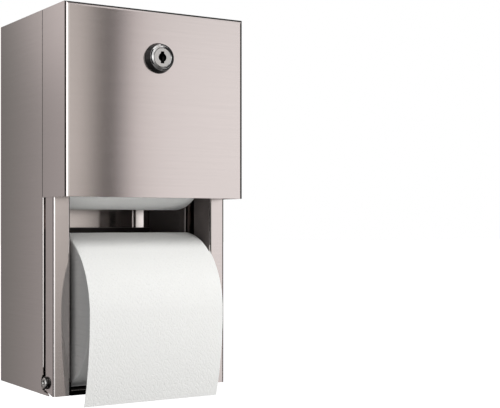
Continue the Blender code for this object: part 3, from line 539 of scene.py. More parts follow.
@dataclass(frozen=True)
class Chrome(Look):
    """Polished plating of the lock. Its ring falls away from the plug, and the skirt behind it is painted
    black as painted shade.
    """

    name: str = "lock_chrome"
    tint: Colour = (0.83, 0.83, 0.835)
    haze_tint: Colour = (0.62, 0.61, 0.6)
    haze_share: float = 0.1
    roughness: float = 0.07
    haze_roughness: float = 0.05
    gloss: float = 0.15
    haze_scale: float = 700
    haze_span: Span = (0.55, 0.8)
    ripple_scale: float = 260
    ripple_depth: float = 0.00001
    centre_height: float = 0.0
    face_y: float = 0.0
    ring_inner_radius: float = 0.0074
    ring_outer_radius: float = 0.0092
    ring_slope: float = 0.28
    skirt_span: Span = (0.0004, 0.0011)
    skirt_shade_share: float = 0.98
    skirt_metal_loss: float = 0.75
    skirt_roughness: float = 0.12

    def paint(self, graph: Graph) -> None:
        """Fill the material's empty node tree."""
        place = graph.place()
        haze = graph.noise(place, self.haze_scale, 4.0)
        ripple = graph.noise(place, self.ripple_scale, 1.0)
        x, y, z = graph.axes(place)
        distance = graph.distance(x, z - self.centre_height)
        fall = distance.between(self.ring_inner_radius, self.ring_outer_radius, 1.0, 0.0)
        drop = (self.ring_outer_radius - self.ring_inner_radius) * self.ring_slope
        # Painted shade: the skirt behind the ring is painted black in place of its dark reflection
        skirt = (y - self.face_y).between(*self.skirt_span)
        tone = graph.mixed(haze.between(*self.haze_span) * self.haze_share, self.tint, self.haze_tint)
        graph.surface({
            "Base Color": graph.mixed(skirt * self.skirt_shade_share, tone, BLACK),
            "Metallic": 1.0 - skirt * self.skirt_metal_loss,
            "Roughness": self.roughness + haze * self.haze_roughness + skirt * self.skirt_roughness,
            "Specular IOR Level": self.gloss,
            "Normal": graph.bumped(ripple, self.ripple_depth, graph.bumped(fall, drop)),
        })


@dataclass(frozen=True)
class PlugNickel(Look):
    """Satin nickel of the lock's plug, with turned rings on its face and painted shade in its opening."""

    name: str = "plug_nickel"
    tint: Colour = (0.9, 0.9, 0.89)
    haze_tint: Colour = (0.62, 0.62, 0.6)
    haze_share: float = 0.16
    roughness: float = 0.3
    haze_roughness: float = 0.08
    ring_roughness: float = 0.05
    haze_scale: float = 900
    ring_rate: float = 24000.0
    ring_depth: float = 0.0000015
    centre_height: float = 0.0
    face_y: float = 0.0
    recess_shade_span: Span = (0.0002, 0.0012)
    recess_shade_share: float = 0.97

    def paint(self, graph: Graph) -> None:
        """Fill the material's empty node tree."""
        place = graph.place()
        x, y, z = graph.axes(place)
        rings = graph.distance(x, z - self.centre_height).wave(self.ring_rate)
        haze = graph.noise(place, self.haze_scale, 3.0)
        # Painted shade: the opening darkens towards black with depth
        recess_shade = (y - self.face_y).between(*self.recess_shade_span)
        tone = graph.mixed(haze * self.haze_share, self.tint, self.haze_tint)
        graph.surface({
            "Base Color": graph.mixed(recess_shade * self.recess_shade_share, tone, BLACK), "Metallic": 1.0,
            "Roughness": self.roughness + rings * self.ring_roughness + haze * self.haze_roughness,
            "Normal": graph.bumped(rings, self.ring_depth),
        })


@dataclass(frozen=True)
class MouldedPlastic(Look):
    """Injection-moulded plastic with a sparked skin and faint flow marks."""

    name: str
    tint: Colour
    roughness: float = 0.42
    gloss: float = 0.5
    grain_scale: float = 3200
    grain_depth: float = 0.00002
    grain_roughness: float = 0.1
    flow_scale: float = 45
    flow_span: Span = (0.4, 0.75)
    flow_share: float = 0.6
    flow_roughness: float = 0.16
    flow_gain: float = 1.25
    flow_lift: float = 0.012

    def paint(self, graph: Graph) -> None:
        """Fill the material's empty node tree."""
        place = graph.place()
        grain = graph.noise(place, self.grain_scale)
        flow = graph.noise(place, self.flow_scale, 3.0)
        pale = tuple(min(1.0, channel * self.flow_gain + self.flow_lift) for channel in self.tint)
        rough = self.roughness + (flow - 0.5) * self.flow_roughness
        graph.surface({
            "Base Color": graph.mixed(flow.between(*self.flow_span) * self.flow_share, self.tint, pale),
            "Roughness": rough + (grain - 0.5) * self.grain_roughness,
            "Specular IOR Level": self.gloss,
            "Normal": graph.bumped(grain, self.grain_depth),
        })


@dataclass(frozen=True)
class Tissue(Look):
    """Soft white tissue, embossed with wavy rows of small dots. It reads the paper's own UV map in metres."""

    name: str = "embossed_tissue"
    tint: Colour = (0.93, 0.93, 0.915)
    hollow_shade_tint: Colour = (0.82, 0.82, 0.81)
    cloud_tint: Colour = (0.87, 0.86, 0.84)
    dot_shade_share: float = 0.10
    valley_shade_share: float = 0.06
    cloud_share: float = 0.06
    roughness: float = 0.9
    fibre_roughness: float = 0.1
    gloss: float = 0.15
    fuzz: float = 0.15
    glow: float = 0.12
    glow_depth: float = 0.002
    emboss_depth: float = 0.00019
    dot_pitch: float = 0.0024
    dot_span: Span = (0.12, 0.42)
    wave_pitch: float = 0.0098
    wave_height: float = 0.0016
    valley_sway: float = 1.6
    valley_span: Span = (0.0, 0.55)
    slack: float = 0.006
    slack_scales: Span = (150, 170)
    fibre_scale: float = 2600
    cloud_scale: float = 60
    puff_scale: float = 430
    quilt_height: float = 0.3
    dot_height: float = 0.3
    puff_height: float = 0.8
    fibre_height: float = 0.22

    def paint(self, graph: Graph) -> None:
        """Fill the material's empty node tree."""
        chart = graph.signal("ShaderNodeUVMap", {"uv_map": "paper"})
        across, along, _ = graph.axes(chart)
        loose = graph.vector(across, along, 0.0)
        across_scale, along_scale = self.slack_scales
        across = across + (graph.noise(loose, across_scale) - 0.5) * self.slack
        along = along + (graph.noise(loose, along_scale) - 0.5) * self.slack
        turn = math.tau / self.wave_pitch
        bend = (across * turn).called("SINE") * self.wave_height
        dots = self._dots(graph, across, along + bend)
        valley = ((along + bend * self.valley_sway) * turn).called("SINE")
        quilt = valley.called("ABSOLUTE").between(*self.valley_span)
        fibres = graph.noise(loose, self.fibre_scale, 4.0)
        cloud = graph.noise(loose, self.cloud_scale, 3.0)
        puffs = graph.noise(loose, self.puff_scale)
        height = (quilt * self.quilt_height - dots * self.dot_height + puffs * self.puff_height
                  + fibres * self.fibre_height)
        # Painted shade: the embossed dots and the valleys between the rows are darker
        hollow_shade = dots * self.dot_shade_share + (1 - quilt) * self.valley_shade_share
        tone = graph.mixed(hollow_shade, self.tint, self.hollow_shade_tint)
        tone = graph.mixed(cloud.between(*CLOUD_SPAN) * self.cloud_share, tone, self.cloud_tint)
        graph.surface({
            "Base Color": tone, "Roughness": self.roughness + (fibres - 0.5) * self.fibre_roughness,
            "Subsurface Weight": self.glow, "Subsurface Scale": self.glow_depth,
            "Subsurface Radius": EVEN_GLOW, "Sheen Weight": self.fuzz, "Specular IOR Level": self.gloss,
            "Normal": graph.bumped(height, self.emboss_depth),
        })

    def _dots(self, graph: Graph, across: Signal, along: Signal) -> Signal:
        """Find the embossed dots, whose every other row stands half a pitch aside.

        Args:
            graph: The material's node tree.
            across: Way across the paper.
            along: Way along it, with the waves of the rows.

        Returns:
            1 in the middle of each dot, and 0 between the dots.
        """
        row = along / self.dot_pitch
        column = across / self.dot_pitch + row.called("FLOOR") * 0.5
        away = graph.distance(column.called("FRACT") - 0.5, row.called("FRACT") - 0.5)
        return away.between(*self.dot_span, 1.0, 0.0)


@dataclass(frozen=True)
class WoundEdge(Look):
    """End face of a roll, where the wound layers show as fine rings round the roll's centre."""

    name: str
    centre: Vector
    tint: Colour = (0.86, 0.865, 0.86)
    gap_tint: Colour = (0.66, 0.67, 0.66)
    ring_share: float = 0.12
    band_share: float = 0.16
    roughness: float = 0.92
    fibre_roughness: float = 0.1
    gloss: float = 0.12
    glow: float = 0.1
    glow_depth: float = 0.002
    layer_pitch: float = 0.00052
    layer_drift: float = 0.0011
    drift_scale: float = 55
    band_scale: float = 900
    band_span: Span = (0.35, 0.65)
    fibre_scale: float = 3000
    ring_height: float = 0.5
    band_height: float = 0.8
    fibre_height: float = 0.35
    layer_depth: float = 0.00016

    def paint(self, graph: Graph) -> None:
        """Fill the material's empty node tree."""
        place = graph.place()
        _, y, z = graph.axes(place)
        distance = graph.distance(y - self.centre.y, z - self.centre.z)
        drift = graph.noise(place, self.drift_scale) * self.layer_drift
        rings = (distance + drift).wave(math.tau / self.layer_pitch)
        bands = graph.noise(graph.vector(distance, 0.0, 0.0), self.band_scale, 3.0)
        fibres = graph.noise(place, self.fibre_scale, 4.0)
        height = rings * self.ring_height + bands * self.band_height + fibres * self.fibre_height
        gaps = rings * self.ring_share + bands.between(*self.band_span) * self.band_share
        graph.surface({
            "Base Color": graph.mixed(gaps, self.tint, self.gap_tint),
            "Roughness": self.roughness + (fibres - 0.5) * self.fibre_roughness,
            "Subsurface Weight": self.glow, "Subsurface Scale": self.glow_depth,
            "Subsurface Radius": EVEN_GLOW, "Specular IOR Level": self.gloss,
            "Normal": graph.bumped(height, self.layer_depth),
        })


@dataclass(frozen=True)
class Card(Look):
    """Grey-brown card of a roll's tube, wound on a slant."""

    name: str = "tube_card"
    tint: Colour = (0.50, 0.42, 0.33)
    fibre_tint: Colour = (0.38, 0.31, 0.24)
    speck_tint: Colour = (0.62, 0.56, 0.48)
    fibre_share: float = 0.4
    speck_share: float = 0.4
    roughness: float = 0.88
    fibre_roughness: float = 0.1
    slant: float = 0.55
    seam_pitch: float = 0.045
    seam_span: Span = (0.0, 0.06)
    fibre_scale: float = 1500
    speck_scale: float = 700
    speck_span: Span = (0.62, 0.72)
    seam_height: float = 0.6
    fibre_height: float = 0.3
    depth: float = 0.0002

    def paint(self, graph: Graph) -> None:
        """Fill the material's empty node tree."""
        place = graph.place()
        x, _, z = graph.axes(place)
        wind = (x * self.slant + z) * (math.tau / self.seam_pitch)
        seam = wind.called("SINE").called("ABSOLUTE").between(*self.seam_span)
        fibres = graph.noise(place, self.fibre_scale, 5.0)
        specks = graph.noise(place, self.speck_scale).between(*self.speck_span)
        tone = graph.mixed(fibres * self.fibre_share, self.tint, self.fibre_tint)
        tone = graph.mixed(specks * self.speck_share, tone, self.speck_tint)
        height = seam * self.seam_height + fibres * self.fibre_height
        graph.surface({
            "Base Color": tone, "Roughness": self.roughness + (fibres - 0.5) * self.fibre_roughness,
            "Normal": graph.bumped(height, self.depth),
        })


def deselect() -> None:
    """Leave object mode with nothing selected."""
    if bpy.context.object is not None and bpy.context.object.mode != "OBJECT":
        bpy.ops.object.mode_set(mode="OBJECT")
    bpy.ops.object.select_all(action="DESELECT")


def clear_mesh_choice(kind: str) -> None:
    """Deselect all of the active mesh, so that faces or edges can be chosen in code.

    Args:
        kind: What is chosen next, FACE or EDGE.
    """
    bpy.ops.object.mode_set(mode="EDIT")
    bpy.ops.mesh.select_mode(type=kind)
    bpy.ops.mesh.select_all(action="DESELECT")
    bpy.ops.object.mode_set(mode="OBJECT")


def dress(piece: bpy.types.Object, *finishes: bpy.types.Material) -> None:
    """Give a piece its materials in place of any that it has.

    Args:
        piece: The piece.
        finishes: Its materials, in the order of its slots.
    """
    piece.data.materials.clear()
    for finish in finishes:
        piece.data.materials.append(finish)


def add_grid(name: str, columns: int, rows: int) -> bpy.types.Object:
    """Add a flat grid of size 1 round the origin, as the start of a sheet.

    Args:
        name: Name of the piece.
        columns: Faces along X.
        rows: Faces along Y.

    Returns:
        The grid, which is the active object.
    """
    deselect()
    bpy.ops.mesh.primitive_grid_add(x_subdivisions=columns, y_subdivisions=rows, size=1.0)
    grid = bpy.context.object
    grid.name = grid.data.name = name
    return grid


def give_wall(sheet: bpy.types.Object, thickness: float, offset: float) -> None:
    """Give a flat surface the thickness of its sheet.

    Args:
        sheet: The active object.
        thickness: Thickness of the sheet.
        offset: Where the surface lies in it, from -1 at its outer face to 1 at its inner face.
    """
    wall = sheet.modifiers.new("wall", "SOLIDIFY")
    wall.thickness = thickness
    wall.offset = offset
    bpy.ops.object.modifier_apply(modifier=wall.name)


def round_rims(piece: bpy.types.Object, radius: float, segments: int) -> None:
    """Round the sharp edges of a piece.

    Args:
        piece: The active object.
        radius: Width of the rounding.
        segments: Faces across it.
    """
    rims = piece.modifiers.new("rims", "BEVEL")
    rims.width = radius
    rims.segments = segments
    rims.limit_method = "ANGLE"
    rims.angle_limit = RIM_ANGLE
    bpy.ops.object.modifier_apply(modifier=rims.name)


def face_outwards() -> None:
    """Turn the active mesh's faces outwards and shade its gentle bends smooth."""
    bpy.ops.object.mode_set(mode="EDIT")
    bpy.ops.mesh.select_all(action="SELECT")
    bpy.ops.mesh.normals_make_consistent(inside=False)
    bpy.ops.object.mode_set(mode="OBJECT")
    bpy.ops.object.shade_smooth_by_angle(angle=CRISP_ANGLE)


def make_metal(sheet: bpy.types.Object, thickness: float) -> None:
    """Give a flat surface the thickness and the rounded edges of sheet metal.

    Args:
        sheet: The active object.
        thickness: Thickness of the metal.
    """
    give_wall(sheet, thickness, 0)
    round_rims(sheet, thickness / 4, 2)
    face_outwards()


@dataclass
class PaperRoll:
    """Wound paper of one roll, in place of its plain solid."""

    node: str
    body: str
    tissue: bpy.types.Material
    bore_radius: float = 0.0213
    edge_radius: float = 0.0011
    edge_segments: int = 3
    segments: int = 192
    rings: int = 20
    end_facing: float = 0.9

    def build(self) -> bpy.types.Object:
        """Model the roll and dress it.

        Returns:
            The roll.
        """
        low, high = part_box(self.node)
        centre = (low + high) / 2
        radius = (high.z - low.z) / 2
        width = high.x - low.x
        deselect()
        bpy.ops.mesh.primitive_cylinder_add(vertices=self.segments, radius=radius, depth=width,
                                            end_fill_type="NGON", location=centre,
                                            rotation=(0, math.pi / 2, 0))
        roll = bpy.context.object
        roll.name = roll.data.name = f"{self.node}_wound"
        bpy.ops.object.transform_apply(location=True, rotation=True, scale=True)
        self._open_bore(roll, radius)
        self._divide(roll, width)
        round_rims(roll, self.edge_radius, self.edge_segments)
        self._chart(roll, centre)
        bpy.ops.object.shade_smooth_by_angle(angle=CRISP_ANGLE)
        dress(roll, self.tissue, WoundEdge(f"{self.node}_edge", centre).material())
        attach(roll, self.body)
        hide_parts(self.node)
        return roll

    def _open_bore(self, roll: bpy.types.Object, radius: float) -> None:
        """Inset both end faces and bridge them through the roll.

        Args:
            roll: The roll, still a closed cylinder.
            radius: Its outer radius.
        """
        clear_mesh_choice("FACE")
        for face in roll.data.polygons:
            face.select = abs(face.normal.x) > self.end_facing
        bpy.ops.object.mode_set(mode="EDIT")
        bpy.ops.mesh.inset(thickness=radius - self.bore_radius, use_individual=True)
        bpy.ops.mesh.bridge_edge_loops()
        bpy.ops.mesh.select_all(action="SELECT")
        bpy.ops.mesh.normals_make_consistent(inside=False)
        bpy.ops.object.mode_set(mode="OBJECT")

    def _divide(self, roll: bpy.types.Object, width: float) -> None:
        """Cut the faces that run from end to end into rings.

        Args:
            roll: The roll with its bore.
            width: Its length along X.
        """
        clear_mesh_choice("EDGE")
        corners = roll.data.vertices
        for edge in roll.data.edges:
            start, end = (corners[index].co for index in edge.vertices)
            edge.select = abs(start.x - end.x) > width / 2
        bpy.ops.object.mode_set(mode="EDIT")
        bpy.ops.mesh.subdivide(number_cuts=self.rings)
        bpy.ops.object.mode_set(mode="OBJECT")

    def _chart(self, roll: bpy.types.Object, centre: Vector) -> None:
        """Lay a UV map in metres round the roll, and give the end faces their own material slot.

        Args:
            roll: The finished roll.
            centre: Its middle.
        """
        chart = roll.data.uv_layers.new(name="paper")
        corners = roll.data.vertices
        for face in roll.data.polygons:
            face.material_index = 1 if abs(face.normal.x) > self.end_facing else 0
            middle = math.atan2(face.center.z - centre.z, centre.y - face.center.y)
            for loop in face.loop_indices:
                place = corners[roll.data.loops[loop].vertex_index].co
                away = Vector((0, place.y - centre.y, place.z - centre.z))
                angle = math.atan2(away.z, -away.y)
                angle += math.tau * round((middle - angle) / math.tau)
                chart.data[loop].uv = (place.x, angle * away.length)


@dataclass
class LooseSheet:
    """Loose end of the paper: it leaves the roll in front, hangs below the cabinet and curls in."""

    node: str
    body: str
    tissue: bpy.types.Material
    roll_node: str
    gap: float = 0.0004
    end_gap: float = 0.0002
    thickness: float = 0.0004
    wrap: float = math.radians(48)
    curl: float = 0.0102
    columns: int = 60
    rows: int = 96

    def build(self) -> bpy.types.Object:
        """Model the sheet and dress it.

        Returns:
            The sheet.
        """
        low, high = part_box(self.roll_node)
        tail_low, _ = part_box(self.node)
        centre = (low + high) / 2
        radius = (high.z - low.z) / 2 + self.gap
        fall = centre.z - (tail_low.z + self.end_gap)
        width, length = high.x - low.x, radius * self.wrap + fall
        sheet = add_grid("hanging_sheet", self.columns, self.rows)
        for corner in sheet.data.vertices:
            across, down = corner.co.x * width, (0.5 - corner.co.y) * length
            back, up = self._section(down, radius, fall)
            corner.co = Vector((centre.x + across, centre.y + back, centre.z + up))
        self._chart(sheet, width, length)
        give_wall(sheet, self.thickness, -1)
        face_outwards()
        dress(sheet, self.tissue)
        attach(sheet, self.body)
        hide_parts(self.node)
        return sheet

    def _section(self, down: float, radius: float, fall: float) -> tuple[float, float]:
        """Return where the sheet hangs, seen from its side.

        Args:
            down: Way along the sheet from its upper end.
            radius: Radius at which it lies on the roll.
            fall: Height of the stretch that hangs free.

        Returns:
            Y and Z from the roll's centre.
        """
        arc_length = radius * self.wrap
        if down < arc_length:
            angle = self.wrap * (1 - down / arc_length)
            return -radius * math.cos(angle), radius * math.sin(angle)
        share = (down - arc_length) / fall
        return self.curl * share ** 2 - radius, -fall * share

    def _chart(self, sheet: bpy.types.Object, width: float, length: float) -> None:
        """Lay a UV map in metres on the sheet while it is still one grid.

        Args:
            sheet: The grid, in any shape.
            width: Flat width of the paper.
            length: Flat length of the paper.
        """
        chart = sheet.data.uv_layers.new(name="paper")
        for corner in sheet.data.loops:
            row, column = divmod(corner.vertex_index, self.columns + 1)
            chart.data[corner.index].uv = (width * column / self.columns, length * row / self.rows)


@dataclass
class CornerStrip:
    """Narrow bowed strip that closes a back corner of the cabinet, from the back sheet to the frame.

    It runs from near to far, as distances from the cabinet's middle, and from low to high. Its slope to
    the back sheet grows from the first to the last.
    """

    side: int
    steel: bpy.types.Material
    near: float = 0.0452
    far: float = 0.0552
    low: float = -0.1462
    high: float = 0.030
    back: float = -0.0012
    first_slope: float = 0.06
    last_slope: float = 0.42
    thickness: float = 0.0007
    columns: int = 14
    rows: int = 20

    def build(self) -> bpy.types.Object:
        """Model the strip and dress it.

        Returns:
            The strip.
        """
        strip = add_grid(f"{'left' if self.side < 0 else 'right'}_corner_strip", self.columns, self.rows)
        width = self.far - self.near
        for corner in strip.data.vertices:
            share, rise = corner.co.x + 0.5, corner.co.y + 0.5
            bow = self.first_slope * share + (self.last_slope - self.first_slope) * share ** 2 / 2
            corner.co = Vector((self.side * (self.near + share * width), self.back - bow * width,
                                self.low + rise * (self.high - self.low)))
        make_metal(strip, self.thickness)
        dress(strip, self.steel)
        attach(strip, "cabinet")
        return strip


@dataclass
class FloorHem:
    """Hem folded under the front edge of the cabinet's floor. It is black, as painted shade."""

    shade_black: bpy.types.Material
    depth: float = 0.0045
    thickness: float = 0.0006
    columns: int = 60
    rows: int = 6

    def build(self) -> bpy.types.Object:
        """Model the hem and dress it.

        Returns:
            The hem.
        """
        low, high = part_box("cabinet_bottom")
        hem = add_grid("floor_hem", self.columns, self.rows)
        for corner in hem.data.vertices:
            across, back = corner.co.x + 0.5, corner.co.y + 0.5
            corner.co = Vector((low.x + across * (high.x - low.x), low.y + back * self.depth,
                                low.z - self.thickness / 2))
        make_metal(hem, self.thickness)
        dress(hem, self.shade_black)
        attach(hem, "cabinet")
        return hem


@dataclass(frozen=True)
class FloorPaint(Look):
    """Pale matt paint of the studio's floor, which shines by itself."""

    name: str = "studio_floor"
    tint: Colour = (0.9, 0.9, 0.9)
    roughness: float = 0.9

    def paint(self, graph: Graph) -> None:
        """Fill the material's empty node tree."""
        graph.surface({"Base Color": as_colour(self.tint), "Roughness": self.roughness,
                       "Emission Color": as_colour(WHITE), "Emission Strength": 1.0})


@dataclass(frozen=True)
class Lamp:
    """Soft square lamp that lights the paper and shows in no reflection."""

    name: str
    place: Place
    size: float
    power: float
    colour: Colour = (1.0, 1.0, 0.99)

    def build(self, aim: Place) -> None:
        """Add the lamp.

        Args:
            aim: Point that it is turned to.
        """
        data = bpy.data.lights.new(self.name, "AREA")
        data.shape = "SQUARE"
        data.size = self.size
        data.energy = self.power
        data.color = self.colour
        lamp = bpy.data.objects.new(self.name, data)
        lamp.location = self.place
        way = Vector(aim) - Vector(self.place)
        lamp.rotation_euler = way.to_track_quat("-Z", "Y").to_euler()
        lamp.visible_glossy = False
        bpy.context.scene.collection.objects.link(lamp)


LAMPS = (
    Lamp("key_softbox", (0.58, -1.13, 1.17), 0.5, 13.5),
    Lamp("front_fill", (0.9, -1.6, -0.06), 1.0, 17.5),
    Lamp("left_fill", (-1.15, -1.8, -0.2), 0.5, 3.0, WHITE),
)

# Studio's brightness round the horizon, as degrees from straight in front, with the right side positive
HORIZON = (
    (-179.9, (0.16, 0.16, 0.15)), (-159.6, (0.195, 0.19, 0.18)), (-158.4, (0.36, 0.33, 0.325)),
    (-156.8, (0.43, 0.40, 0.395)), (-146.0, (0.46, 0.42, 0.41)), (-128.0, (0.02, 0.02, 0.02)),
    (-82.0, (0.02, 0.02, 0.02)), (-78.0, (2.0, 2.0, 2.0)), (-37.5, (2.0, 2.0, 2.0)),
    (-35.5, (0.02, 0.02, 0.02)), (-23.0, (0.02, 0.02, 0.02)), (-21.0, (1.3, 1.28, 1.25)),
    (-6.0, (1.1, 1.08, 1.06)), (12.0, (0.62, 0.60, 0.58)), (23.0, (0.73, 0.69, 0.66)),
    (24.2, (0.62, 0.58, 0.55)), (24.45, (0.02, 0.015, 0.015)), (26.3, (0.02, 0.015, 0.015)),
    (26.6, (0.76, 0.71, 0.70)), (28.5, (0.91, 0.87, 0.865)), (34.0, (0.97, 0.94, 0.93)),
    (42.0, (0.98, 0.95, 0.94)), (46.0, (0.03, 0.03, 0.03)), (150.0, (0.03, 0.03, 0.03)),
    (165.0, (0.16, 0.16, 0.16)),
)


@dataclass(frozen=True)
class Surroundings:
    """Softboxes and dark flags all round the object, which its metal reflects, and a dim light for the rest.

    Each ramp gives the brightness from straight below, at 0, to straight above, at 1. The spans give where
    one ramp goes over into the next, as shares of the turn from the back by the left and the front.
    """

    back: Stops = ((0.0, 0.03), (0.36, 0.3), (0.42, 0.98), (0.55, 0.96), (0.60, 1.0), (0.70, 0.5),
                   (1.0, 0.75))
    back_to_left: Span = (0.0545, 0.061)
    left: Stops = ((0.0, 0.03), (0.36, 0.3), (0.42, 0.98), (0.55, 0.98), (0.565, 1.2), (0.58, 1.6),
                   (0.60, 1.75), (1.0, 1.0))
    left_to_front: Span = (0.15, 0.25)
    front: Stops = ((0.0, 0.03), (0.38, 0.2), (0.435, 0.48), (0.475, 0.72), (0.505, 1.0), (0.60, 1.0),
                    (0.635, 0.58), (0.70, 0.55), (0.74, 0.9), (1.0, 0.9))
    front_to_right: Span = (0.568, 0.58)
    right: Stops = ((0.0, 0.03), (0.36, 0.3), (0.43, 0.95), (0.52, 1.0), (0.60, 1.0), (0.635, 0.58),
                    (0.70, 0.55), (0.74, 0.9), (1.0, 0.9))
    ambient: Stops = ((0.0, 0.21), (0.5, 0.19), (1.0, 0.11))

    def build(self) -> None:
        """Make them the scene's world."""
        world = bpy.data.worlds.new("studio")
        bpy.context.scene.world = world
        graph = Graph(world)
        facing = graph.signal("ShaderNodeTexCoord", output="Generated")
        x, y, z = graph.axes(facing)
        turn = x.called("ARCTAN2", y * -1.0) / math.tau + 0.5
        stops = [(angle / 360 + 0.5, colour) for angle, colour in HORIZON]
        ring = graph.signal("ShaderNodeValToRGB", {"stops": stops}, {0: turn})
        rise = z * 0.5 + 0.5
        height = graph.mixed(turn.between(*self.back_to_left), self._ramp(graph, rise, self.back),
                             self._ramp(graph, rise, self.left))
        height = graph.mixed(turn.between(*self.left_to_front), height, self._ramp(graph, rise, self.front))
        height = graph.mixed(turn.between(*self.front_to_right), height, self._ramp(graph, rise, self.right))
        studio = graph.mixed(1.0, ring, height, "MULTIPLY")
        path = graph.node("ShaderNodeLightPath")
        glossy = Signal(graph, path.outputs["Is Glossy Ray"])
        seen = Signal(graph, path.outputs["Is Camera Ray"])
        tone = graph.mixed(glossy, self._ramp(graph, rise, self.ambient), studio)
        tone = graph.mixed(seen, tone, WHITE)
        light = graph.signal("ShaderNodeBackground", None, {"Color": tone, "Strength": 1.0})
        graph.node("ShaderNodeOutputWorld", None, {0: light})

    @staticmethod
    def _ramp(graph: Graph, value: Signal, stops: Stops) -> Signal:
        """Return a grey ramp read at a value.

        Args:
            graph: The tree to add it to.
            value: Where the ramp is read.
            stops: Its positions and grey levels.

        Returns:
            The ramp's colour.
        """
        return graph.signal("ShaderNodeValToRGB", {"stops": [(at, (grey, grey, grey)) for at, grey in stops]},
                            {0: value})


@dataclass
class Studio:
    """Camera, floor and light."""

    camera_place: Place = (-0.4024, -0.8989, -0.0169)
    camera_turn: float = math.radians(32.53)
    sensor_width: float = 36.0
    lens: float = 80.06
    shift_up: float = 0.04
    nearest: float = 0.01
    floor_height: float = -0.42
    floor_size: float = 40.0
    lamp_aim: Place = (0, -0.08, -0.03)

    def build(self) -> None:
        """Set up everything round the object."""
        self._camera()
        self._floor()
        Surroundings().build()
        for lamp in LAMPS:
            lamp.build(self.lamp_aim)
        scene = bpy.context.scene
        scene.view_settings.view_transform = "Standard"
        scene.view_settings.look = "None"

    def _camera(self) -> None:
        """Add the camera at the photograph's angle."""
        data = bpy.data.cameras.new("camera")
        data.sensor_width = self.sensor_width
        data.lens = self.lens
        data.shift_y = self.shift_up
        data.clip_start = self.nearest
        camera = bpy.data.objects.new("camera", data)
        camera.location = self.camera_place
        camera.rotation_euler = (math.pi / 2, 0, -self.camera_turn)
        bpy.context.scene.collection.objects.link(camera)
        bpy.context.scene.camera = camera

    def _floor(self) -> None:
        """Add the pale floor, which shows to the camera alone."""
        deselect()
        bpy.ops.mesh.primitive_plane_add(size=self.floor_size, location=(0, 0, self.floor_height))
        floor = bpy.context.object
        floor.name = "studio_floor"
        dress(floor, FloorPaint().material())
        floor.visible_glossy = False
        floor.visible_diffuse = False
        floor.visible_shadow = False


class Finish(Enum):
    """Finishes of the CAD nodes that keep their shape, and of the sheet metal added here."""

    SHEET = "sheet"
    BACK = "back"
    FRAME = "frame"
    FLOOR = "floor"
    SHADED = "shaded"
    BRIGHT = "bright"
    RIVET = "rivet"
    PLATED = "plated"
    CHROME = "chrome"
    NICKEL = "nickel"
    SPINDLE = "spindle"
    NYLON = "nylon"
    CARD = "card"


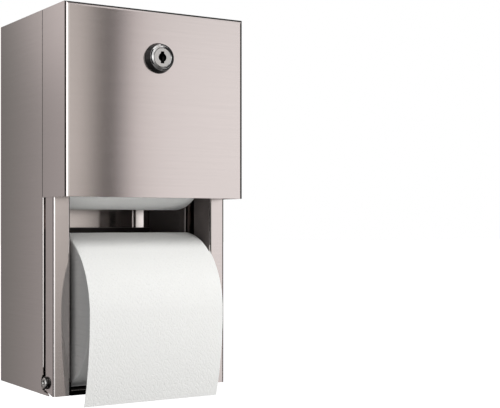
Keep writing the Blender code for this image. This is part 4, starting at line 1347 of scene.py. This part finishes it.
@dataclass
class Dispenser:
    """The whole object. The shade fields say how far the painted shade on each sheet reaches."""

    back_shade_top: float = -0.0205
    back_shade_face: float = -0.0002
    floor_shade_depth: float = 0.0006
    frame_shade_depth: float = 0.0002

    def finishes(self) -> dict[Finish, bpy.types.Material]:
        """Make every finish once.

        Returns:
            The materials by finish.
        """
        plug_low, plug_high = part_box("lock_plug")
        lock_height = (plug_low.z + plug_high.z) / 2
        floor_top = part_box("cabinet_bottom")[1].z
        frame_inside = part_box("right_side_frame")[0].x
        made = {
            Finish.SHEET: SatinSteel(),
            # Back sheet: its brighter tint is painted reflection, and its lower band is painted shade
            Finish.BACK: SatinSteel("back_steel_painted_light_and_shade", (0.97, 0.91, 0.89), shade_from=-1.0,
                                    shade_to=self.back_shade_top, shade_before=self.back_shade_face),
            # Frame: painted shade on its inner faces
            Finish.FRAME: SatinSteel("frame_steel_painted_shade", shade_tint=(0.15, 0.13, 0.125),
                                     shade_within=frame_inside + self.frame_shade_depth),
            # Floor: painted shade on its top face, under the roll
            Finish.FLOOR: SatinSteel("floor_steel_painted_shade", shade_from=floor_top - self.floor_shade_depth),
            # Black that stands in for shade: painted shade on the bottom bar and the floor hem
            Finish.SHADED: MouldedPlastic("painted_shade_black", (0.006, 0.006, 0.006), 0.8, gloss=0.0),
            Finish.BRIGHT: TurnedSteel(),
            Finish.RIVET: RivetSteel(face_x=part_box("right_pivot_rivet")[1].x),
            Finish.PLATED: ZincPlate(),
            Finish.CHROME: Chrome(centre_height=lock_height, face_y=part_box("lock_housing")[0].y),
            Finish.NICKEL: PlugNickel(centre_height=lock_height, face_y=plug_low.y),
            Finish.SPINDLE: MouldedPlastic("spindle_plastic", (0.016, 0.016, 0.018)),
            Finish.NYLON: MouldedPlastic("washer_nylon", (0.72, 0.71, 0.66), 0.5),
            Finish.CARD: Card(),
        }
        return {finish: look.material() for finish, look in made.items()}

    def nodes(self) -> dict[str, Finish]:
        """Return the finish of each CAD node that keeps its shape."""
        named = {
            "cabinet_back": Finish.BACK, "cabinet_bottom": Finish.FLOOR, "cabinet_top": Finish.SHEET,
            "door_shell": Finish.SHEET, "frame_bottom_bar": Finish.SHADED, "latch_keeper": Finish.PLATED,
            "lock_housing": Finish.CHROME, "lock_plug": Finish.NICKEL, "lock_nut": Finish.PLATED,
            "lock_cam": Finish.PLATED, "cam_nut": Finish.PLATED, "lower_spindle": Finish.SPINDLE,
            "reserve_spindle": Finish.SPINDLE, "lower_roll_core": Finish.CARD,
            "reserve_roll_core": Finish.CARD,
        }
        for side in ("left", "right"):
            named[f"cabinet_{side}_side"] = Finish.SHEET
            named[f"{side}_side_frame"] = Finish.FRAME
            named[f"{side}_pivot_bracket"] = Finish.PLATED
            named[f"{side}_pivot_rivet"] = Finish.RIVET
            named[f"{side}_pivot_washer"] = Finish.NYLON
            named[f"{side}_gate"] = Finish.PLATED
            named[f"{side}_gate_pin"] = Finish.BRIGHT
            named[f"{side}_gate_stop"] = Finish.BRIGHT
        return named

    def build(self, nodes: dict[str, bpy.types.Object]) -> None:
        """Dress the CAD nodes and add the new pieces.

        Args:
            nodes: The CAD nodes by name.
        """
        finishes = self.finishes()
        for name, finish in self.nodes().items():
            dress(nodes[name], finishes[finish])
            log.info("%s: %s", name, finish.value)
        tissue = Tissue().material()
        parts = (
            PaperRoll("lower_roll_paper", "lower_roll", tissue),
            PaperRoll("reserve_roll_paper", "reserve_roll", tissue),
            LooseSheet("paper_tail", "lower_axle", tissue, "lower_roll_paper"),
            CornerStrip(-1, finishes[Finish.BACK]),
            CornerStrip(1, finishes[Finish.BACK]),
            FloorHem(finishes[Finish.SHADED]),
        )
        for part in parts:
            piece = part.build()
            log.info("%s: %d faces", piece.name, len(piece.data.polygons))


def main() -> None:
    """Build the looks."""
    logging.basicConfig(level=logging.INFO, format="%(name)s %(message)s")
    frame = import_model()
    Studio().build()
    Dispenser().build(frame["nodes"])


if __name__ == "__main__":
    main()
